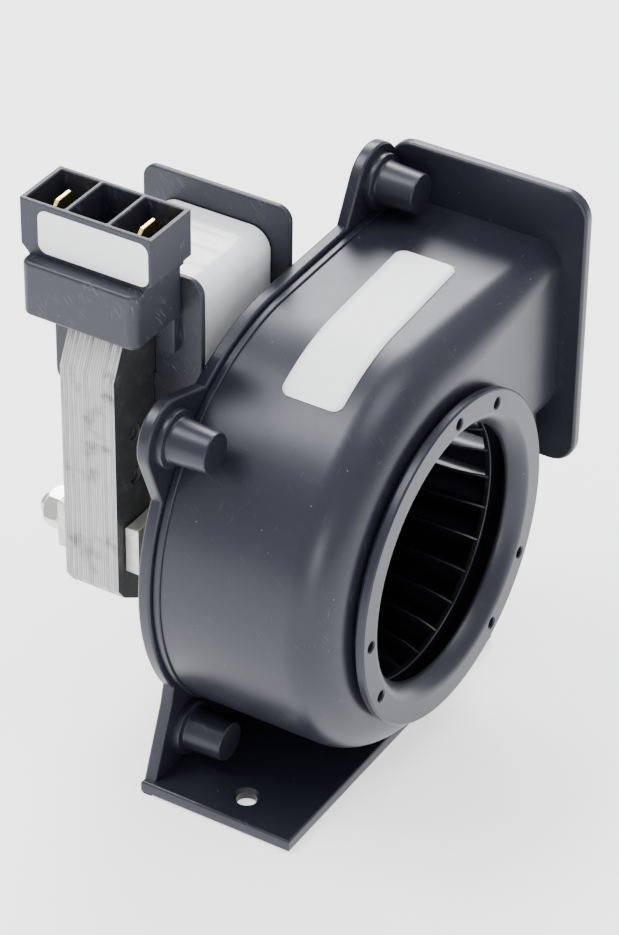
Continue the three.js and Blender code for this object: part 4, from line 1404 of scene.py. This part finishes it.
    def build(self, shop: Workshop) -> None:
        """Makes every piece of the motor but its coil."""
        shop.piece("frame_stack_sheets", self.stack(), Body.HOUSING, Finish.LAMINATED, ["frame_stack"])
        shop.dress("coil_core", Finish.LAMINATED)
        bore = 2.3 * MM
        core_low, core_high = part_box("rotor_core")
        core = self.sheets_of(circle(0.0, self.shaft_height, (core_high.x - core_low.x) / 2, 96), 9)
        hole = prism(circle(0.0, self.shaft_height, bore, 48), Axis.Y, core_low.y - 1 * MM,
                     core_high.y + 1 * MM)
        shop.piece("rotor_core_sheets", shaped(core, cut=[hole]), Body.ROTOR, Finish.LAMINATED,
                   ["rotor_core"])
        for side in ("left", "right"):
            node = f"shading_ring_{side}"
            shop.piece(f"{node}_bent", self.bars(node, 0.0), Body.HOUSING, Finish.COPPER, [node])
            shop.piece(f"motor_bolt_{side}_threaded", self.bolt(side), Body.HOUSING, Finish.STEEL,
                       [f"motor_bolt_{side}"])
            shop.piece(f"motor_nut_{side}_chamfered", self.nut(side), Body.HOUSING, Finish.STEEL,
                       [f"motor_nut_{side}"])
            self.turned_ring(shop, f"motor_spacer_{side}", bore, 0.5 * MM, Body.HOUSING, Finish.RUBBER)
        for end, away in (("front", -1.0), ("rear", 1.0)):
            bracket = f"{end}_bracket"
            shop.piece(f"{bracket}_casting", self.strap(bracket, away), Body.HOUSING, Finish.ZINC,
                       [bracket])
            self.turned_ring(shop, f"{end}_bearing", bore, 0.3 * MM, Body.HOUSING, Finish.BRONZE)
            self.turned_ring(shop, f"{end}_felt_ring", bore, 0.3 * MM, Body.HOUSING, Finish.FELT)
            self.turned_ring(shop, f"{end}_bearing_cap", bore, 0.2 * MM, Body.HOUSING, Finish.STEEL)
            self.turned_ring(shop, f"{end}_thrust_washer", bore, 0.15 * MM, Body.ROTOR, Finish.STEEL)
            self.turned_ring(shop, f"rotor_end_ring_{end}", bore, 0.5 * MM, Body.ROTOR, Finish.ZINC)


@dataclass
class Coil:
    """The bobbin, the taped winding, and the terminal block with its two blade terminals."""

    flange: float = 1.2 * MM
    flange_corner: float = 2.6 * MM
    coil_corner: float = 4.0 * MM
    tape: float = 0.5 * MM
    block_top_radius: float = 1.6 * MM
    socket_wall: float = 0.8 * MM
    socket_depth: float = 8.2 * MM
    socket_height: float = 9.4 * MM

    def bobbin(self) -> bpy.types.Mesh:
        """Two thin flanges on a square tube."""
        low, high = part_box("bobbin")
        core_low, core_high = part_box("coil_core")
        square = rounded_box(low.y, high.y, low.z, high.z, self.flange_corner, 8)
        sleeve = 1.3 * MM
        near = prism(square, Axis.X, low.x, low.x + self.flange, 0.35 * MM)
        far = prism(square, Axis.X, high.x - self.flange, high.x, 0.35 * MM)
        tube = prism(rounded_box(core_low.y - sleeve, core_high.y + sleeve, core_low.z - sleeve,
                                 core_high.z + sleeve, 0.5 * MM),
                     Axis.X, low.x + 0.5 * MM, high.x - 0.5 * MM)
        room = 0.3 * MM
        bore = prism(rounded_box(core_low.y - room, core_high.y + room, core_low.z - room,
                                 core_high.z + room, 0.1 * MM, 2),
                     Axis.X, low.x - 1 * MM, high.x + 1 * MM)
        return shaped(near, add=[far, tube], cut=[bore])

    def tape_wrap(self) -> bpy.types.Mesh:
        """White tape round the winding, in overlapping turns, slightly crowned."""
        low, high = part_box("coil_tape")
        section = rounded_box(low.y, high.y, low.z, high.z, self.coil_corner, 14)
        rng = random.Random(3)
        stations = 44
        turn_edges = (0.16, 0.38, 0.57, 0.81)
        rings = []
        for k in range(stations + 1):
            share = k / stations
            x = low.x + (high.x - low.x) * share
            crown = 0.22 * MM * (2 * share - 1) ** 2
            layer = 0.14 * MM * (sum(share > edge for edge in turn_edges) % 2)
            wrinkle = [0.02 * MM * rng.random() for _ in section]
            ring = inset(section, [crown + layer + 0.02 * MM + w for w in wrinkle])
            rings.append([Axis.X.place(u, v, x) for u, v in ring])
        bore = prism(inset(section, self.tape), Axis.X, low.x - 1 * MM, high.x + 1 * MM)
        return shaped(loft(rings), cut=[bore])

    def block(self) -> bpy.types.Mesh:
        """The terminal block: a rounded lower body and a socket with three cavities."""
        low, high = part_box("terminal_block")
        tab = middle("blade_terminal_front")
        stack_low, stack_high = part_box("frame_stack")
        core_y = (stack_low.y + stack_high.y) / 2
        socket_floor = high.z - self.socket_height
        block_floor = stack_high.z + 2.3 * MM
        half_depth = 10.5 * MM
        lower = prism(rounded_box(low.x, high.x, core_y - half_depth, core_y + half_depth,
                                  self.block_top_radius, 8), Axis.Z, block_floor, socket_floor, 0.6 * MM, 4)
        left = tab.x - 5.5 * MM
        right = tab.x + 5.5 * MM
        under = 1.35 * MM
        front, rear = low.y, high.y
        end = [(front, high.z), (front, socket_floor + under), (front + under, socket_floor),
               (front + under, socket_floor - 0.7 * MM), (rear - under, socket_floor - 0.7 * MM),
               (rear - under, socket_floor), (rear, socket_floor + under), (rear, high.z)]
        socket = prism(end, Axis.X, left, right, 0.2 * MM)
        pitch = (rear - front - self.socket_wall) / 3
        half = (pitch - self.socket_wall) / 2
        lead = 0.18 * MM
        cavities = []
        for k in (-1, 0, 1):
            centre = core_y + k * pitch
            hollow = rounded_box(left + self.socket_wall, right - self.socket_wall, centre - half,
                                 centre + half, 0.25 * MM, 3)
            wide = inset(hollow, -lead)
            floor = high.z - self.socket_depth
            rings = [(hollow, floor), (hollow, high.z - lead), (wide, high.z), (wide, high.z + 1 * MM)]
            cavities.append(loft([[Axis.Z.place(u, v, w) for u, v in ring] for ring, w in rings]))
        slots = []
        for side in ("front", "rear"):
            blade = middle(f"blade_terminal_{side}")
            slots.append(prism(rounded_box(blade.x - 3.45 * MM, blade.x + 3.45 * MM, blade.y - 0.7 * MM,
                                           blade.y + 0.7 * MM, 0.1 * MM, 2), Axis.Z,
                               high.z - self.socket_depth - 3 * MM, high.z - self.socket_depth + 1 * MM))
        hook_front = core_y - half_depth + 0.6 * MM
        hook = prism(rounded_box(hook_front, stack_low.y - 1.5 * MM, block_floor - 7 * MM,
                                 block_floor + 1 * MM, 0.8 * MM, 5),
                     Axis.X, high.x - 2 * MM, high.x, 0.25 * MM)
        return shaped(lower, add=[socket, hook], cut=[*cavities, *slots])

    def blade(self, side: str) -> bpy.types.Mesh:
        """A blade terminal with a chamfered tip and a small hole."""
        low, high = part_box(f"blade_terminal_{side}")
        lead = 1.5 * MM
        outline = [(low.x, low.z), (high.x, low.z), (high.x, high.z - lead), (high.x - lead, high.z),
                   (low.x + lead, high.z), (low.x, high.z - lead)]
        body = prism(outline, Axis.Y, low.y, high.y, 0.22 * MM, 4)
        hole = prism(circle((low.x + high.x) / 2, high.z - 3.6 * MM, 0.85 * MM, 32), Axis.Y,
                     low.y - 1 * MM, high.y + 1 * MM)
        return shaped(body, cut=[hole])

    def socket_label(self) -> bpy.types.Mesh:
        """A blank label on the socket's long face."""
        low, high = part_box("terminal_block")
        face = middle("blade_terminal_front").x - 5.5 * MM
        outline = rounded_box(low.y + 0.5 * MM, high.y - 3.3 * MM, high.z - 8.5 * MM, high.z - 1.0 * MM,
                              1.6 * MM, 8)
        return prism(outline, Axis.X, face - 0.1 * MM, face - 0.01 * MM, 0.03 * MM, 2)

    def build(self, shop: Workshop) -> None:
        """Makes the bobbin, the tape, the block, the terminals and the label."""
        shop.piece("bobbin_moulding", self.bobbin(), Body.HOUSING, Finish.BOBBIN, ["bobbin"])
        shop.dress("coil_winding", Finish.COPPER)
        shop.piece("coil_tape_wrap", self.tape_wrap(), Body.HOUSING, Finish.TAPE, ["coil_tape"])
        shop.piece("terminal_block_moulding", self.block(), Body.HOUSING, Finish.BOBBIN, ["terminal_block"])
        for side in ("front", "rear"):
            shop.piece(f"blade_terminal_{side}_stamped", self.blade(side), Body.HOUSING, Finish.BRASS,
                       [f"blade_terminal_{side}"])
        shop.piece("socket_label", self.socket_label(), Body.HOUSING, Finish.TAPE,
                   material=shop.palette.label)


# ----------------------------------------------------------------------------- studio


@dataclass
class Studio:
    """The camera, the floor and the lights."""

    azimuth: float = math.radians(-58.883)
    elevation: float = math.radians(35.323)
    roll: float = math.radians(0.688)
    lens: float = 148.03
    distance: float = 0.60546
    aim_left: float = 22.84 * MM
    aim_up: float = 14.27 * MM

    def camera(self) -> None:
        """Makes the camera, aimed from the inlet ring's centre."""
        low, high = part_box("inlet_ring")
        ring = Vector((0.0, low.y, (low.z + high.z) / 2))
        az, el = self.azimuth, self.elevation
        look = Vector((-math.sin(az) * math.cos(el), math.cos(az) * math.cos(el), -math.sin(el)))
        level = Vector((math.cos(az), math.sin(az), 0.0))
        up = level.cross(look)
        right = level * math.cos(self.roll) + up * math.sin(self.roll)
        over = up * math.cos(self.roll) - level * math.sin(self.roll)
        aim = ring - right * self.aim_left + over * self.aim_up
        data = bpy.data.cameras.new("camera")
        data.lens = self.lens
        data.sensor_width = 36.0
        data.sensor_fit = "AUTO"
        data.clip_start = 0.01
        data.clip_end = 20.0
        camera = bpy.data.objects.new("camera", data)
        turn = Matrix((right, over, -look)).transposed()
        camera.matrix_world = Matrix.Translation(aim - look * self.distance) @ turn.to_4x4()
        bpy.context.scene.collection.objects.link(camera)
        bpy.context.scene.camera = camera

    def floor(self) -> None:
        """Makes a plain pale floor."""
        graph = Graph("pale_floor")
        material = graph.surface(Base_Color=(0.9, 0.9, 0.9), Roughness=0.6,
                                 Emission_Color=(1.0, 1.0, 1.0), Emission_Strength=1.1)
        shape = bmesh.new()
        bmesh.ops.create_grid(shape, x_segments=1, y_segments=1, size=3.0)
        mesh = bpy.data.meshes.new("floor")
        shape.to_mesh(mesh)
        shape.free()
        mesh.materials.append(material)
        floor = bpy.data.objects.new("floor", mesh)
        floor.location.z = cad_box[0].z - 0.05 * MM
        bpy.context.scene.collection.objects.link(floor)

    def light(self, name: str, azimuth: float, elevation: float, distance: float, size: Point,
              power: float) -> None:
        """Makes one soft light that shines at the middle of the blower.

        Args:
            name: The light's name.
            azimuth: Where it stands, in degrees; 0 is in front of the inlet.
            elevation: Its height in degrees.
            distance: Its distance in metres.
            size: Width and height of its face.
            power: Its power in watts.
        """
        az, el = math.radians(azimuth), math.radians(elevation)
        away = Vector((math.sin(az) * math.cos(el), -math.cos(az) * math.cos(el), math.sin(el)))
        data = bpy.data.lights.new(name, "AREA")
        data.shape = "RECTANGLE"
        data.size, data.size_y = size
        data.energy = power
        lamp = bpy.data.objects.new(name, data)
        target = (cad_box[0] + cad_box[1]) / 2
        lamp.location = target + away * distance
        lamp.rotation_mode = "QUATERNION"
        lamp.rotation_quaternion = away.to_track_quat("Z", "Y")
        bpy.context.scene.collection.objects.link(lamp)

    def build(self) -> None:
        """Makes the camera, the floor, the sky and the lights."""
        self.camera()
        self.floor()
        world = bpy.data.worlds.new("white_room")
        world.use_nodes = True
        sky = world.node_tree.nodes["Background"]
        sky.inputs["Color"].default_value = (0.93, 0.95, 1.0, 1.0)
        sky.inputs["Strength"].default_value = 1.2
        bpy.context.scene.world = world
        self.light("window", -156.0, 60.0, 0.9, (0.42, 0.30), 7.0)
        self.light("top_panel", 20.0, 70.0, 1.0, (0.5, 0.5), 4.0)
        self.light("rear_panel", 121.0, 38.0, 1.2, (0.6, 0.4), 14.0)
        self.light("front_panel", -62.0, 12.0, 1.0, (0.30, 0.25), 2.2)


def main() -> None:
    """Builds the studio and every sub-assembly in order."""
    logging.basicConfig(level=logging.INFO, format="%(message)s")
    Studio().build()
    motor = Motor()
    shop = Workshop(Palette(motor.low.y, motor.sheet))
    Housing().build(shop)
    Impeller().build(shop)
    motor.build(shop)
    Coil().build(shop)


if __name__ == "__main__":
    main()
